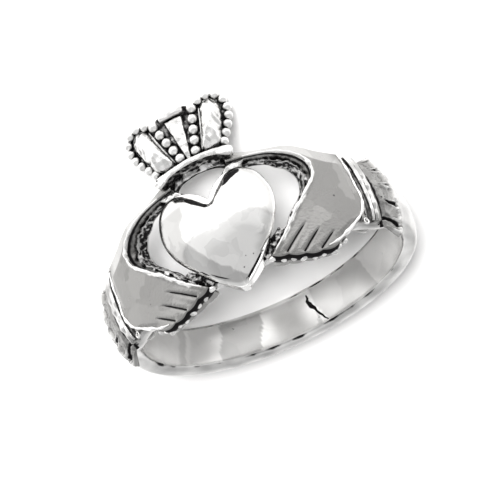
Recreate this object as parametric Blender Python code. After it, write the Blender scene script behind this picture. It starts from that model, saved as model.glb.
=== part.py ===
"""A claddagh ring in cast silver: two hands hold a crowned heart on a finger ring.

The head is laid out flat: x runs round the finger, y runs along the finger
towards the crown, and z is the height above the finger. Each form of the
casting is made there and wrapped round the finger. The forms are then joined
into one solid, the finger hole is cut through it, and the ring is laid down
as it comes to rest by itself, on its crown and the back of its band.
Lengths are in metres.
"""

import math

import bmesh
import bpy
from mathutils import Matrix, Vector

# Finger hole and band
FINGER_BORE = 0.0173
BAND_WIDTH = 0.0032
BAND_THICKNESS = 0.00124
BAND_FLAT_SHARE = 0.77
BAND_LIP_SHARE = 0.15
BAND_EDGE_SHARE = 0.58
BORE_STRAIGHT = 0.0044
BORE_FLARE = 0.0011

# Head: the hands' outer surface above the finger, and how far the hands reach
HEAD_THICKNESS = 0.00175
HAND_REACH = 0.0092
HAND_SPREAD = 0.0080
HAND_EDGE_DROP = 0.00035
FINGER_LINE_WIDTH = 0.00016
FINGER_LINE_DEPTH = 0.00022

# Heart
HEART_WIDTH = 0.0073
HEART_LENGTH = 0.0070
HEART_TIP = -0.00385
HEART_FLANGE = 0.0003
HEART_PUFF = 0.0011
HEART_CENTRE_SHARE = 0.56
WEB_HEIGHT = 0.00085
BRIDGE_HEIGHT = 0.0013
BRIDGE_WIDTH = 0.0010
BRIDGE_PLACE_SHARE = 0.57
BRIDGE_LOW_SHARE = 0.93
BRIDGE_HIGH_SHARE = 0.14

# Cuffs and frills
WRIST_WIDTH = 0.0046
CUFF_START = 0.0086
CUFF_LENGTH = 0.0017
CUFF_THICKNESS = 0.00155
CUFF_BOW_SHARE = 0.12
RIDGE_RADIUS = 0.00018
RIDGE_RISE_SHARE = 0.3
FRILL_LENGTH = 0.0024
FRILL_WIDTH = 0.0054
FRILL_SHIFT = -0.00025
FRILL_RISE = 0.00028
FRILL_THICKNESS = 0.0018
FRILL_SHELL = 0.0008
FRILL_LOBES = 5
FRILL_ROOT_SHARE = 0.9
FRILL_ROOT_WIDTH_SHARE = 0.84
FRILL_SIDE_LOSS = 0.12
LOBE_WIDTH_SHARE = 1.04
LOBE_ROOT_SHARE = 0.8
LOBE_TOP_SHARE = 0.55

# Crown
CROWN_WIDTH = 0.0066
CROWN_BASE = 0.00355
CROWN_HEIGHT = 0.0046
CROWN_GAP = 0.0006
CROWN_THICKNESS = 0.0009
BAR_THICKNESS = 0.0020
PETAL_PUFF = 0.0006
PETAL_WALL_SHARE = 0.2
PETAL_CENTRE = (0.60, 0.62)
FAN_RISE = 0.00035
CAP_RISE = 0.00055
BEAD_DIAMETER = 0.00052
ROW_BEAD_DIAMETER = 0.00062
BEAD_LIFT_SHARE = 0.17
ROW_BEADS = 5
BORDER_BEADS = 9

# How finely the faces follow the curves
ROUND_STEPS = 72
SLICE = 0.0010
BEAD_SIDES = 10
BURIED = 0.0003
SHARP_DEGREES = 35

BORE_RADIUS = FINGER_BORE / 2
HEAD_RADIUS = BORE_RADIUS + HEAD_THICKNESS
ROUND_STEP = 2 * math.pi / ROUND_STEPS

SILVER_COLOUR = (0.86, 0.86, 0.85, 1.0)
SILVER_ROUGHNESS = 0.2

# Heart's right half, from the notch round the lobe to the tip:
# across as a share of half the width, along as a share of the length from the tip
HEART_HALF = (
    (0.00, 0.835),
    (0.16, 0.925),
    (0.42, 0.992),
    (0.67, 0.982),
    (0.89, 0.895),
    (1.00, 0.740),
    (0.985, 0.60),
    (0.88, 0.46),
    (0.68, 0.31),
    (0.40, 0.14),
    (0.13, 0.025),
    (0.00, 0.000),
)

# Puffed forms: size as a share of the outline, height as a share of the puff
PUFF_STEPS = (
    (0.97, 0.00),
    (0.93, 0.22),
    (0.82, 0.50),
    (0.65, 0.76),
    (0.42, 0.93),
    (0.16, 1.00),
)

# Right hand: across as a share of the reach, along as a share of half the spread
HAND_UPPER_EDGE = (
    (0.20, 1.03),
    (0.45, 0.94),
    (0.62, 0.895),
    (0.72, 0.81),
    (0.80, 0.715),
    (0.90, 0.625),
    (1.00, 0.575),
)
HAND_LOWER_EDGE = (
    (1.00, -0.56),
    (0.90, -0.56),
    (0.77, -0.74),
    (0.66, -0.855),
    (0.57, -0.89),
    (0.45, -0.865),
    (0.33, -0.79),
    (0.228, -0.725),
)
HAND_INNER_RIM = (
    (0.228, -0.725),
    (0.348, -0.50),
    (0.478, -0.19),
    (0.576, 0.02),
    (0.675, 0.25),
    (0.700, 0.46),
    (0.655, 0.63),
    (0.565, 0.75),
    (0.435, 0.84),
    (0.20, 0.90),
)

# Finger lines of the right hand, from palm to tip, in the same shares
FINGER_LINES = (
    ((0.520, -0.42), (0.350, -0.70)),
    ((0.600, -0.54), (0.450, -0.80)),
    ((0.690, -0.64), (0.560, -0.82)),
)

# Web between the heart and the right hand's fingers, in the same shares
WEB_OUTLINE = (
    (0.12, -0.76),
    (0.25, -0.71),
    (0.47, -0.24),
    (0.40, -0.10),
    (0.26, -0.35),
)

# Ridges across a cuff: place along it and radius, as shares of its length and of a ridge's radius
CUFF_RIDGES = (
    ("rim", 0.10, 1.0),
    ("line", 0.42, 0.6),
    ("roll", 0.74, 1.6),
)

# Crown: across as a share of half the width, along as a share of the height
BAR_LOWER_HALF = ((0.00, 0.13), (0.38, 0.105), (0.67, 0.02))
BAR_UPPER_HALF = ((0.82, 0.18), (0.60, 0.215), (0.00, 0.25))
CROWN_HALF = (
    (0.68, 0.15),
    (0.80, 0.40),
    (0.92, 0.57),
    (0.99, 0.72),
    (0.97, 0.85),
    (0.86, 0.945),
    (0.70, 0.985),
    (0.50, 0.965),
    (0.36, 0.93),
    (0.285, 0.985),
    (0.00, 1.000),
)
PETAL_OUTLINE = (
    (0.30, 0.27),
    (0.61, 0.27),
    (0.75, 0.46),
    (0.86, 0.66),
    (0.88, 0.80),
    (0.79, 0.91),
    (0.66, 0.935),
    (0.53, 0.85),
    (0.42, 0.60),
)
FAN_HALF = ((0.04, 0.22), (0.18, 0.895))
CAP_HALF = ((0.24, 0.895), (0.255, 0.97))
BEAD_ROW = ((0.155, 0.315), (0.385, 0.885))
BEAD_BORDER = (
    (0.69, 0.285),
    (0.82, 0.43),
    (0.94, 0.58),
    (1.00, 0.73),
    (0.97, 0.87),
    (0.84, 0.965),
    (0.68, 0.985),
    (0.54, 0.955),
)

# Band between the wrist and the back: degrees from the head,
# share of the way from the band's width to the wrist's, thickness as a share of the band's
SHANK_TABLE = (
    (50.0, 1.00, 1.16),
    (60.0, 0.95, 1.14),
    (68.0, 0.50, 1.10),
    (78.0, 0.12, 1.06),
    (92.0, 0.00, 1.03),
    (120.0, 0.00, 1.00),
    (180.0, 0.00, 1.00),
)


def clear_scene():
    for thing in list(bpy.data.objects):
        bpy.data.objects.remove(thing, do_unlink=True)


def silver():
    """Polished silver, as the whole casting shows it."""
    material = bpy.data.materials.new("silver")
    material.use_nodes = True
    shader = material.node_tree.nodes["Principled BSDF"]
    shader.inputs["Base Color"].default_value = SILVER_COLOUR
    shader.inputs["Metallic"].default_value = 1.0
    shader.inputs["Roughness"].default_value = SILVER_ROUGHNESS
    return material


def scaled(table, across, along, base=0.0):
    """A table of shares as flat points, measured up from a base line."""
    return [(a * across, base + b * along) for a, b in table]


def smooth_through(points, steps):
    """An open curve through the points, with so many steps between two of them."""
    found = []
    last = len(points) - 1
    for i in range(last):
        before = Vector(points[max(i - 1, 0)])
        start = Vector(points[i])
        end = Vector(points[i + 1])
        after = Vector(points[min(i + 2, last)])
        for k in range(steps):
            t = k / steps
            found.append(tuple(
                0.5 * (2 * start + (end - before) * t
                       + (2 * before - 5 * start + 4 * end - after) * t ** 2
                       + (3 * start - before - 3 * end + after) * t ** 3)
            ))
    found.append(tuple(points[last]))
    return found


def even_steps(path, count):
    """So many points at equal distances along a path, its two ends among them."""
    lengths = [0.0]
    for a, b in zip(path, path[1:]):
        lengths.append(lengths[-1] + (Vector(b) - Vector(a)).length)
    found = []
    for k in range(count):
        want = lengths[-1] * k / (count - 1)
        i = max(j for j in range(len(path) - 1) if lengths[j] <= want + 1e-12)
        share = (want - lengths[i]) / (lengths[i + 1] - lengths[i])
        found.append(tuple(Vector(path[i]).lerp(Vector(path[i + 1]), share)))
    return found


def whole_outline(half):
    """A closed outline from its right half, whose two ends lie on the middle line."""
    left = [(-x, y) for x, y in reversed(half[1:-1])]
    return half + left


def between(table, at):
    """The row of a table at a place between two of its rows."""
    for low, high in zip(table, table[1:]):
        if low[0] <= at <= high[0]:
            t = (at - low[0]) / (high[0] - low[0])
            return [a + (b - a) * t for a, b in zip(low[1:], high[1:])]
    return table[-1][1:]


def loft(rings):
    """A closed body through rings of points, from a first face that is extruded on."""
    bm = bmesh.new()
    face = bm.faces.new([bm.verts.new(co) for co in rings[0]])
    inner_faces = []
    for ring in rings[1:]:
        made = bmesh.ops.extrude_face_region(bm, geom=[face])
        face = next(f for f in made["geom"] if isinstance(f, bmesh.types.BMFace))
        inner_faces.append(face)
        for vertex, co in zip(face.verts, ring):
            vertex.co = co
    bmesh.ops.delete(bm, geom=inner_faces[:-1], context="FACES_ONLY")
    bmesh.ops.recalc_face_normals(bm, faces=bm.faces)
    return bm


def sliced(bm):
    """Cuts a slab into small faces, so that it can bend round the finger."""
    for axis in (0, 1):
        low = min(v.co[axis] for v in bm.verts)
        high = max(v.co[axis] for v in bm.verts)
        cuts = math.ceil((high - low) / SLICE)
        normal = Vector((1, 0, 0)) if axis == 0 else Vector((0, 1, 0))
        for k in range(1, cuts):
            place = normal * (low + (high - low) * k / cuts)
            geometry = bm.verts[:] + bm.edges[:] + bm.faces[:]
            bmesh.ops.bisect_plane(bm, geom=geometry, dist=1e-7, plane_co=place, plane_no=normal)
    return bm


def slab(outline, low, high):
    """A flat plate with this outline, between two heights above the finger."""
    return sliced(loft([[(x, y, z) for x, y in outline] for z in (low, high)]))


def puffed(outline, centre, low, wall, puff):
    """A puffed form: a wall as high as wall, then a dome that is as high again as puff."""
    rings = [[(x, y, low) for x, y in outline], [(x, y, wall) for x, y in outline]]
    for size, height in PUFF_STEPS:
        rings.append([
            (centre[0] + (x - centre[0]) * size, centre[1] + (y - centre[1]) * size, wall + puff * height)
            for x, y in outline
        ])
    return loft(rings)


def wrapped(bm):
    """Wraps flat forms round the finger."""
    for vertex in bm.verts:
        x, y, z = vertex.co
        angle = x / HEAD_RADIUS
        radius = BORE_RADIUS + z
        vertex.co = (radius * math.sin(angle), y, radius * math.cos(angle))
    return bm


def mirrored(bm):
    """The same form on the other side of the head."""
    copy = bm.copy()
    bmesh.ops.scale(copy, verts=copy.verts, vec=(-1, 1, 1))
    bmesh.ops.reverse_faces(copy, faces=copy.faces)
    return copy


def place(name, bm, collection):
    """Makes a form an object that only the casting's modifiers read."""
    mesh = bpy.data.meshes.new(name)
    bm.to_mesh(mesh)
    bm.free()
    form = bpy.data.objects.new(name, mesh)
    form.hide_render = True
    form.display_type = "WIRE"
    collection.objects.link(form)
    return form


def place_pair(name, bm, collection):
    """Makes a right form and its mirror image on the left."""
    place(name + "_left", mirrored(bm), collection)
    place(name + "_right", bm, collection)


def shank():
    """The band from wrist to wrist round the back of the finger."""
    dome_steps = 8
    first = math.floor(math.radians(SHANK_TABLE[0][0]) / ROUND_STEP) + 0.5
    count = round(ROUND_STEPS - 2 * first) + 1
    rings = []
    for k in range(count):
        angle = (first + k) * ROUND_STEP
        from_head = math.degrees(min(angle, 2 * math.pi - angle))
        flare, thickness = between(SHANK_TABLE, from_head)
        half = (BAND_WIDTH + (WRIST_WIDTH - BAND_WIDTH) * flare) / 2
        height = BAND_THICKNESS * thickness
        flat = half * BAND_FLAT_SHARE
        eased = (flat + half) / 2
        lip = height * BAND_LIP_SHARE
        section = [(-eased, lip), (-flat, -BURIED), (flat, -BURIED), (eased, lip)]
        for j in range(dome_steps + 1):
            turn = math.pi * j / dome_steps
            rise = BAND_EDGE_SHARE + (1 - BAND_EDGE_SHARE) * math.sin(turn)
            section.append((half * math.cos(turn), height * rise))
        rings.append([
            ((BORE_RADIUS + h) * math.sin(angle), y, (BORE_RADIUS + h) * math.cos(angle))
            for y, h in section
        ])
    return loft(rings)


def hand():
    """The right hand with its arm, domed a little towards its outer edges."""
    half_spread = HAND_SPREAD / 2
    outline = (
        smooth_through(scaled(HAND_UPPER_EDGE, HAND_REACH, half_spread), 2)
        + smooth_through(scaled(HAND_LOWER_EDGE, HAND_REACH, half_spread), 2)[:-1]
        + smooth_through(scaled(HAND_INNER_RIM, HAND_REACH, half_spread), 2)
    )
    bm = slab(outline, -BURIED, HEAD_THICKNESS)
    for vertex in bm.verts:
        if vertex.co.z > 0:
            vertex.co.z -= HAND_EDGE_DROP * min(abs(vertex.co.y) / half_spread, 1.0) ** 2
    return bm


def finger_line(start, end):
    """A cutter for one line between two fingers, deepest in its middle."""
    start = Vector((start[0] * HAND_REACH, start[1] * HAND_SPREAD / 2, 0))
    end = Vector((end[0] * HAND_REACH, end[1] * HAND_SPREAD / 2, 0))
    across = (end - start).normalized().cross(Vector((0, 0, 1))) * FINGER_LINE_WIDTH / 2
    above = Vector((0, 0, HEAD_THICKNESS + BURIED))
    rings = []
    for share in (0.0, 0.35, 0.7, 1.0):
        middle = start.lerp(end, share)
        drop = HAND_EDGE_DROP * (middle.y / (HAND_SPREAD / 2)) ** 2
        depth = FINGER_LINE_DEPTH * math.sin(math.pi * (0.1 + 0.8 * share))
        floor = Vector((0, 0, HEAD_THICKNESS - drop - depth))
        rings.append([middle - across + above, middle + across + above, middle + floor])
    return loft(rings)


def heart():
    """The puffed heart on its flange, down to the finger."""
    half = smooth_through(scaled(HEART_HALF, HEART_WIDTH / 2, HEART_LENGTH, HEART_TIP), 3)
    centre = (0.0, HEART_TIP + HEART_LENGTH * HEART_CENTRE_SHARE)
    flange = HEAD_THICKNESS - HEART_FLANGE
    return puffed(whole_outline(half), centre, -BURIED, flange, HEART_PUFF + HEART_FLANGE)


def web():
    """The low metal between the heart and the fingers of the right hand."""
    return slab(scaled(WEB_OUTLINE, HAND_REACH, HAND_SPREAD / 2), -BURIED, WEB_HEIGHT)


def bridge():
    """The low metal between the heart's right lobe and the crown's bar."""
    middle = HEART_WIDTH / 2 * BRIDGE_PLACE_SHARE
    low = HEART_TIP + HEART_LENGTH * BRIDGE_LOW_SHARE
    high = CROWN_BASE + CROWN_HEIGHT * BRIDGE_HIGH_SHARE
    outline = [
        (middle - BRIDGE_WIDTH / 2, low),
        (middle + BRIDGE_WIDTH / 2, low),
        (middle + BRIDGE_WIDTH / 2, high),
        (middle - BRIDGE_WIDTH / 2, high),
    ]
    return slab(outline, -BURIED, BRIDGE_HEIGHT)


def cuff():
    """The right wrist's flat piece, between the hand and the frill."""
    half = WRIST_WIDTH / 2
    ends = (CUFF_START - BURIED, CUFF_START + CUFF_LENGTH)
    outline = [(ends[0], -half), (ends[1], -half), (ends[1], half), (ends[0], half)]
    bm = slab(outline, -BURIED, CUFF_THICKNESS)
    for vertex in bm.verts:
        if vertex.co.z > 0:
            vertex.co.z -= HAND_EDGE_DROP * (vertex.co.y / half) ** 2
    return bm


def cuff_ridge(share, radius):
    """A raised ridge across the right cuff, at a share of the cuff's length."""
    half = WRIST_WIDTH / 2
    sides = 7
    steps = 6
    rings = []
    for k in range(steps + 1):
        y = half * (2 * k / steps - 1)
        bow = (y / half) ** 2
        x = CUFF_START + CUFF_LENGTH * (share - CUFF_BOW_SHARE * bow)
        z = CUFF_THICKNESS - HAND_EDGE_DROP * bow + radius * RIDGE_RISE_SHARE
        turns = [2 * math.pi * j / sides for j in range(sides)]
        rings.append([(x + radius * math.cos(t), y, z + radius * math.sin(t)) for t in turns])
    return loft(rings)


def frill_lobe(number):
    """One lobe of the right frill: a tongue with a round end, fanned out from the cuff."""
    pitch = FRILL_WIDTH / FRILL_LOBES
    place_in_row = (number + 0.5) / FRILL_LOBES * 2 - 1
    root_y = FRILL_SHIFT + place_in_row * WRIST_WIDTH / 2 * FRILL_ROOT_WIDTH_SHARE
    root = Vector((CUFF_START + CUFF_LENGTH * FRILL_ROOT_SHARE, root_y))
    reach = FRILL_LENGTH * (1 - FRILL_SIDE_LOSS * place_in_row ** 2)
    tip = Vector((root.x + reach, FRILL_SHIFT + place_in_row * FRILL_WIDTH / 2))
    along = (tip - root).normalized()
    across = Vector((-along.y, along.x))
    half = pitch / 2 * LOBE_WIDTH_SHARE
    foot = across * half * LOBE_ROOT_SHARE
    outline = [root + foot, root - foot]
    round_steps = 6
    for k in range(round_steps + 1):
        turn = math.pi * k / round_steps
        forward = along * half * (math.sin(turn) - 1)
        outline.append(tip + forward - across * half * math.cos(turn))
    centre = root.lerp(tip, LOBE_TOP_SHARE)
    wall = FRILL_THICKNESS - HAND_EDGE_DROP * place_in_row ** 2
    return puffed([tuple(p) for p in outline], tuple(centre), wall - FRILL_SHELL, wall, FRILL_RISE)


def crown_points(table):
    return scaled(table, CROWN_WIDTH / 2, CROWN_HEIGHT, CROWN_BASE)


def crown_plate():
    """The thin plate behind the crown, clear of the finger."""
    half = smooth_through(crown_points(CROWN_HALF), 2)
    foot = (0.0, half[0][1])
    return slab(whole_outline([foot] + half), CROWN_GAP, CROWN_GAP + CROWN_THICKNESS)


def crown_bar():
    """The arched bar at the foot of the crown, as deep as the head."""
    lower = smooth_through(crown_points(BAR_LOWER_HALF), 3)
    upper = smooth_through(crown_points(BAR_UPPER_HALF), 3)
    return slab(whole_outline(lower + upper), -BURIED, BAR_THICKNESS)


def petal():
    """The puffed right lobe of the crown."""
    outline = crown_points(PETAL_OUTLINE)
    around = smooth_through(outline + outline[:1], 2)[:-1]
    centre = crown_points([PETAL_CENTRE])[0]
    top = CROWN_GAP + CROWN_THICKNESS
    wall = top + PETAL_PUFF * PETAL_WALL_SHARE
    return puffed(around, centre, top - BURIED, wall, PETAL_PUFF)


def blade(half_table, rise):
    """A raised block on the crown plate, as wide at each end as its table says."""
    low, high = crown_points(half_table)
    outline = [(-low[0], low[1]), low, high, (-high[0], high[1])]
    top = CROWN_GAP + CROWN_THICKNESS
    return slab(outline, top - BURIED, top + rise)


def bead(x, y, diameter):
    """One bead, set into the crown plate for a third of its height."""
    bm = bmesh.new()
    height = CROWN_GAP + CROWN_THICKNESS + diameter * BEAD_LIFT_SHARE
    bmesh.ops.create_uvsphere(
        bm, u_segments=BEAD_SIDES, v_segments=BEAD_SIDES // 2 - 1, radius=diameter / 2,
        matrix=Matrix.Translation((x, y, height)),
    )
    return bm


def finger_hole():
    """The cutter for the finger hole, which opens out a little towards both ends."""
    straight = BORE_STRAIGHT / 2
    flared = HAND_SPREAD / 2 - straight
    half = []
    for share in (0.0, 0.5, 1.0):
        half.append((straight + flared * share, BORE_RADIUS + BORE_FLARE * share ** 2))
    half.append((CROWN_BASE + CROWN_HEIGHT * 2, BORE_RADIUS + BORE_FLARE))
    profile = [(-y, radius) for y, radius in reversed(half)] + half
    rings = []
    for y, radius in profile:
        rings.append([
            (radius * math.sin(k * ROUND_STEP), y, radius * math.cos(k * ROUND_STEP))
            for k in range(ROUND_STEPS)
        ])
    return loft(rings)


def make_forms(forms):
    """Every form of the casting apart from the shank, in place on the ring."""
    place_pair("hand", wrapped(hand()), forms)
    place("heart", wrapped(heart()), forms)
    place_pair("web", wrapped(web()), forms)
    place_pair("bridge", wrapped(bridge()), forms)
    place_pair("cuff", wrapped(cuff()), forms)
    for name, share, radius in CUFF_RIDGES:
        place_pair("cuff_" + name, wrapped(cuff_ridge(share, RIDGE_RADIUS * radius)), forms)
    for number in range(FRILL_LOBES):
        place_pair(f"frill_{number}", wrapped(frill_lobe(number)), forms)
    place("crown_plate", wrapped(crown_plate()), forms)
    place("crown_bar", wrapped(crown_bar()), forms)
    place_pair("petal", wrapped(petal()), forms)
    place("fan", wrapped(blade(FAN_HALF, FAN_RISE)), forms)
    place("cap", wrapped(blade(CAP_HALF, CAP_RISE)), forms)
    row = even_steps(crown_points(BEAD_ROW), ROW_BEADS)
    border = even_steps(smooth_through(crown_points(BEAD_BORDER), 4), BORDER_BEADS)
    for number, (x, y) in enumerate(row):
        place_pair(f"row_bead_{number}", wrapped(bead(x, y, ROW_BEAD_DIAMETER)), forms)
    for number, (x, y) in enumerate(border):
        place_pair(f"border_bead_{number}", wrapped(bead(x, y, BEAD_DIAMETER)), forms)


def make_cutters(cutters):
    """What is cut out of the casting: the finger hole and the lines between the fingers."""
    place("finger_hole", finger_hole(), cutters)
    for number, (start, end) in enumerate(FINGER_LINES):
        place_pair(f"finger_line_{number}", wrapped(finger_line(start, end)), cutters)


def boolean(ring, name, operation, collection):
    """Joins or cuts a whole collection at once; only this solver keeps so many forms closed."""
    modifier = ring.modifiers.new(name, "BOOLEAN")
    modifier.operation = operation
    modifier.solver = "MANIFOLD"
    modifier.operand_type = "COLLECTION"
    modifier.collection = collection


def resting_tilt(points):
    """The lean at which the crown and the back of the band touch one level surface.

    The points are (forward, down) pairs: how far in front of the finger's axis,
    and how far along it towards the crown.
    """
    tilt = 0.0
    for _ in range(20):
        depth = [p[1] * math.cos(tilt) - p[0] * math.sin(tilt) for p in points]
        front = max(zip(depth, points), key=lambda d: d[0] if d[1][0] > 0 else -1.0)[1]
        back = max(zip(depth, points), key=lambda d: d[0] if d[1][0] < 0 else -1.0)[1]
        tilt = math.atan2(front[1] - back[1], front[0] - back[0])
    return tilt


def lay_down(ring):
    """Lays the ring on its crown and the back of its band, over the origin."""
    bpy.context.view_layer.update()
    shape = ring.evaluated_get(bpy.context.evaluated_depsgraph_get()).to_mesh()
    points = [v.co.copy() for v in shape.vertices]
    tilt = resting_tilt([(p.z, p.y) for p in points])
    turn = Matrix((
        (-1, 0, 0),
        (0, -math.sin(tilt), -math.cos(tilt)),
        (0, -math.cos(tilt), math.sin(tilt)),
    )).to_4x4()
    laid = [turn @ p for p in points]
    low = Vector([min(p[i] for p in laid) for i in range(3)])
    high = Vector([max(p[i] for p in laid) for i in range(3)])
    shift = Vector((-(low.x + high.x) / 2, -(low.y + high.y) / 2, -low.z))
    holder = bpy.data.objects.new("lying_ring", None)
    bpy.context.scene.collection.objects.link(holder)
    holder.matrix_world = Matrix.Translation(shift) @ turn
    for thing in bpy.data.objects:
        if thing.type == "MESH":
            thing.parent = holder


def main():
    clear_scene()
    scene = bpy.context.scene.collection
    forms = bpy.data.collections.new("forms")
    cutters = bpy.data.collections.new("cutters")
    scene.children.link(forms)
    scene.children.link(cutters)
    make_forms(forms)
    make_cutters(cutters)

    mesh = bpy.data.meshes.new("claddagh_ring")
    band = shank()
    band.to_mesh(mesh)
    band.free()
    mesh.materials.append(silver())
    ring = bpy.data.objects.new("claddagh_ring", mesh)
    scene.objects.link(ring)
    boolean(ring, "join_forms", "UNION", forms)
    boolean(ring, "cut_hole_and_lines", "DIFFERENCE", cutters)
    lay_down(ring)
    ring.data.shade_smooth()
    ring.data.set_sharp_from_angle(angle=math.radians(SHARP_DEGREES))


main()
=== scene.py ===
"""Looks of a claddagh ring: two hands hold a crowned heart, all cast in one piece of silver.

Each form of the casting is laid out flat in millimetres: x runs round the finger,
y runs along the finger towards the crown, and z is the height above the finger.
It is then wrapped round the finger and laid down as the ring lies on a table.
"""

import logging
import math
from dataclasses import dataclass, field
from enum import Enum
from typing import Callable

import bmesh
import bpy
import numpy as np
from mathutils import Matrix, Vector, noise
from mathutils.bvhtree import BVHTree


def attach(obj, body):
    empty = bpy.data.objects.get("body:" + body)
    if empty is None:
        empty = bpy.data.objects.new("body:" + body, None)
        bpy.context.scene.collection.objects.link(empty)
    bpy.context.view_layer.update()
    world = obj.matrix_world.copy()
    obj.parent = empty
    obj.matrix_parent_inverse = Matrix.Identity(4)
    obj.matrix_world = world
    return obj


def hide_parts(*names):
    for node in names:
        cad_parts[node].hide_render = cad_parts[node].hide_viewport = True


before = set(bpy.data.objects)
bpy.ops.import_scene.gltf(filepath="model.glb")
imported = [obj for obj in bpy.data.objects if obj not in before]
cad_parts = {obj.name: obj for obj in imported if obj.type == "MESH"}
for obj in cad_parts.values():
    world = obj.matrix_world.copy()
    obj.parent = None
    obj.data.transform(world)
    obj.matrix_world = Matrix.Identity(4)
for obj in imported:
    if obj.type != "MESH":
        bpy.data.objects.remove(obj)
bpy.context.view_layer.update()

log = logging.getLogger("ring")

Mesh = bmesh.types.BMesh
Tree = bpy.types.NodeTree
Socket = bpy.types.NodeSocket
Array = np.ndarray
Path = list[Vector]
Points = tuple[tuple[float, float], ...]
Triple = tuple[float, float, float]
Relief = Callable[[Array, Array], Array]

MM = 0.001
NODE = "claddagh_ring"
HOLLOW = "hollow"
# Mask of rubbed wear and of painted highlights.
WEAR_AND_HIGHLIGHT = "wear_and_highlight"
# Mask of dull film and of painted shade, which stands in for darker reflections on the heart and inside the
# band.
FILM_AND_PAINTED_SHADE = "film"
# Colour of rubbed wear and of painted highlights.
WEAR_AND_HIGHLIGHT_SILVER = (0.92, 0.915, 0.905, 1.0)
BLACK_OXIDE = (0.018, 0.017, 0.018, 1.0)


class Side(Enum):
    """Which side of the head a form sits on."""

    LEFT = -1
    RIGHT = 1

    @property
    def label(self) -> str:
        """The side's name in lower case."""
        return self.name.lower()


# Paths and distances


def smooth_path(points: Points, steps: int) -> Path:
    """Draws an open curve through the points.

    Args:
        points: Corners of the path.
        steps: Steps between two of them.

    Returns:
        The points of the curve, both ends among them.
    """
    corners = [Vector(p) for p in points]
    last = len(corners) - 1
    found = []
    for i in range(last):
        before, start = corners[max(i - 1, 0)], corners[i]
        end, after = corners[i + 1], corners[min(i + 2, last)]
        for k in range(steps):
            t = k / steps
            found.append(
                0.5 * (2 * start + (end - before) * t
                       + (2 * before - 5 * start + 4 * end - after) * t ** 2
                       + (3 * start - before - 3 * end + after) * t ** 3)
            )
    found.append(corners[last])
    return found


def closed_path(points: Points, steps: int) -> Path:
    """Draws a closed curve through the points, the first of them not given again."""
    curve = smooth_path(points[-2:] + points + points[:2], steps)
    return curve[2 * steps:(2 + len(points)) * steps]


def both_halves(half: Path) -> Path:
    """Completes an outline from its right half, whose ends lie on the middle line."""
    return half + [Vector((-p.x, p.y)) for p in reversed(half[1:-1])]


def distance_to(path: Path, x: Array, y: Array) -> tuple[Array, Array]:
    """Measures how far points lie from a path.

    Args:
        path: An open path.
        x: Places across.
        y: Places along.

    Returns:
        The distances, and the share of the path's length at the nearest point.
    """
    best = np.full(x.shape, 1e9)
    share = np.zeros(x.shape)
    lengths = [(b - a).length for a, b in zip(path, path[1:])]
    total, done = sum(lengths), 0.0
    for a, b, length in zip(path, path[1:], lengths):
        along = (b - a) / max(length, 1e-9)
        t = np.clip((x - a.x) * along.x + (y - a.y) * along.y, 0, length)
        d = np.hypot(x - a.x - along.x * t, y - a.y - along.y * t)
        nearer = d < best
        best = np.where(nearer, d, best)
        share = np.where(nearer, (done + t) / total, share)
        done += length
    return best, share


def away_from(path: Path, x: Array, y: Array) -> Array:
    """How far points lie from a path."""
    return distance_to(path, x, y)[0]


def beside(path: Path, away: float) -> Path:
    """Moves a path sideways.

    Args:
        path: The path.
        away: How far to its right, or to its left where it is negative.

    Returns:
        The moved path.
    """
    moved = []
    for i, p in enumerate(path):
        along = (path[min(i + 1, len(path) - 1)] - path[max(i - 1, 0)]).normalized()
        moved.append(p + Vector((along.y, -along.x)) * away)
    return moved


def spread(path: Path, count: int) -> Path:
    """Finds places at equal distances along a path.

    Args:
        path: The path.
        count: How many places.

    Returns:
        The places, the path's ends among them.
    """
    lengths = [0.0]
    for a, b in zip(path, path[1:]):
        lengths.append(lengths[-1] + (b - a).length)
    found = []
    for k in range(count):
        want = lengths[-1] * k / (count - 1)
        i = max(j for j in range(len(path) - 1) if lengths[j] <= want + 1e-9)
        found.append(path[i].lerp(path[i + 1], (want - lengths[i]) / (lengths[i + 1] - lengths[i])))
    return found


def ease(low: float, high: float, value: Array) -> Array:
    """Rises smoothly from 0 at low to 1 at high."""
    t = np.clip((value - low) / (high - low), 0, 1)
    return t * t * (3 - 2 * t)


def hill(distance: Array, width: float) -> Array:
    """A soft ridge of height 1 with this half width."""
    return np.exp(-((distance / width) ** 2))


def even(amount: float) -> Relief:
    """The same amount everywhere."""
    return lambda x, y: np.full(x.shape, amount)


def rough(height: float, seed: float) -> Relief:
    """Makes uneven heights, as an unpolished casting has them.

    Args:
        height: How uneven they are.
        seed: Which of many such surfaces it is.

    Returns:
        The height at a place.
    """
    broad, fine = 2.6, 6.0

    def relief(x: Array, y: Array) -> Array:
        """Adds broad waves and finer ones of half their height.

        Args:
            x: Places across.
            y: Places along.

        Returns:
            The heights.
        """
        return np.array([
            height * noise.noise((a * broad, b * broad, seed))
            + height * 0.5 * noise.noise((a * fine, b * fine, seed))
            for a, b in zip(x, y)
        ])

    return relief


# Mesh building


def new_face(points: Path, height: float) -> Mesh:
    """Starts a mesh from one face.

    Args:
        points: The face's outline.
        height: How high it lies.

    Returns:
        The mesh.
    """
    bm = bmesh.new()
    bm.faces.new([bm.verts.new((p.x, p.y, height)) for p in points])
    bmesh.ops.recalc_face_normals(bm, faces=bm.faces)
    return bm


def extrude_cap(bm: Mesh, cap: bmesh.types.BMFace) -> bmesh.types.BMFace:
    """Extrudes one face and drops the face it leaves behind inside.

    Args:
        bm: The mesh.
        cap: The face to extrude.

    Returns:
        The new face, still in the old place.
    """
    inner = len(bm.faces) > 1
    made = bmesh.ops.extrude_face_region(bm, geom=[cap])
    fresh = next(g for g in made["geom"] if isinstance(g, bmesh.types.BMFace))
    if inner and cap.is_valid:
        bmesh.ops.delete(bm, geom=[cap], context="FACES_ONLY")
    return fresh


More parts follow.
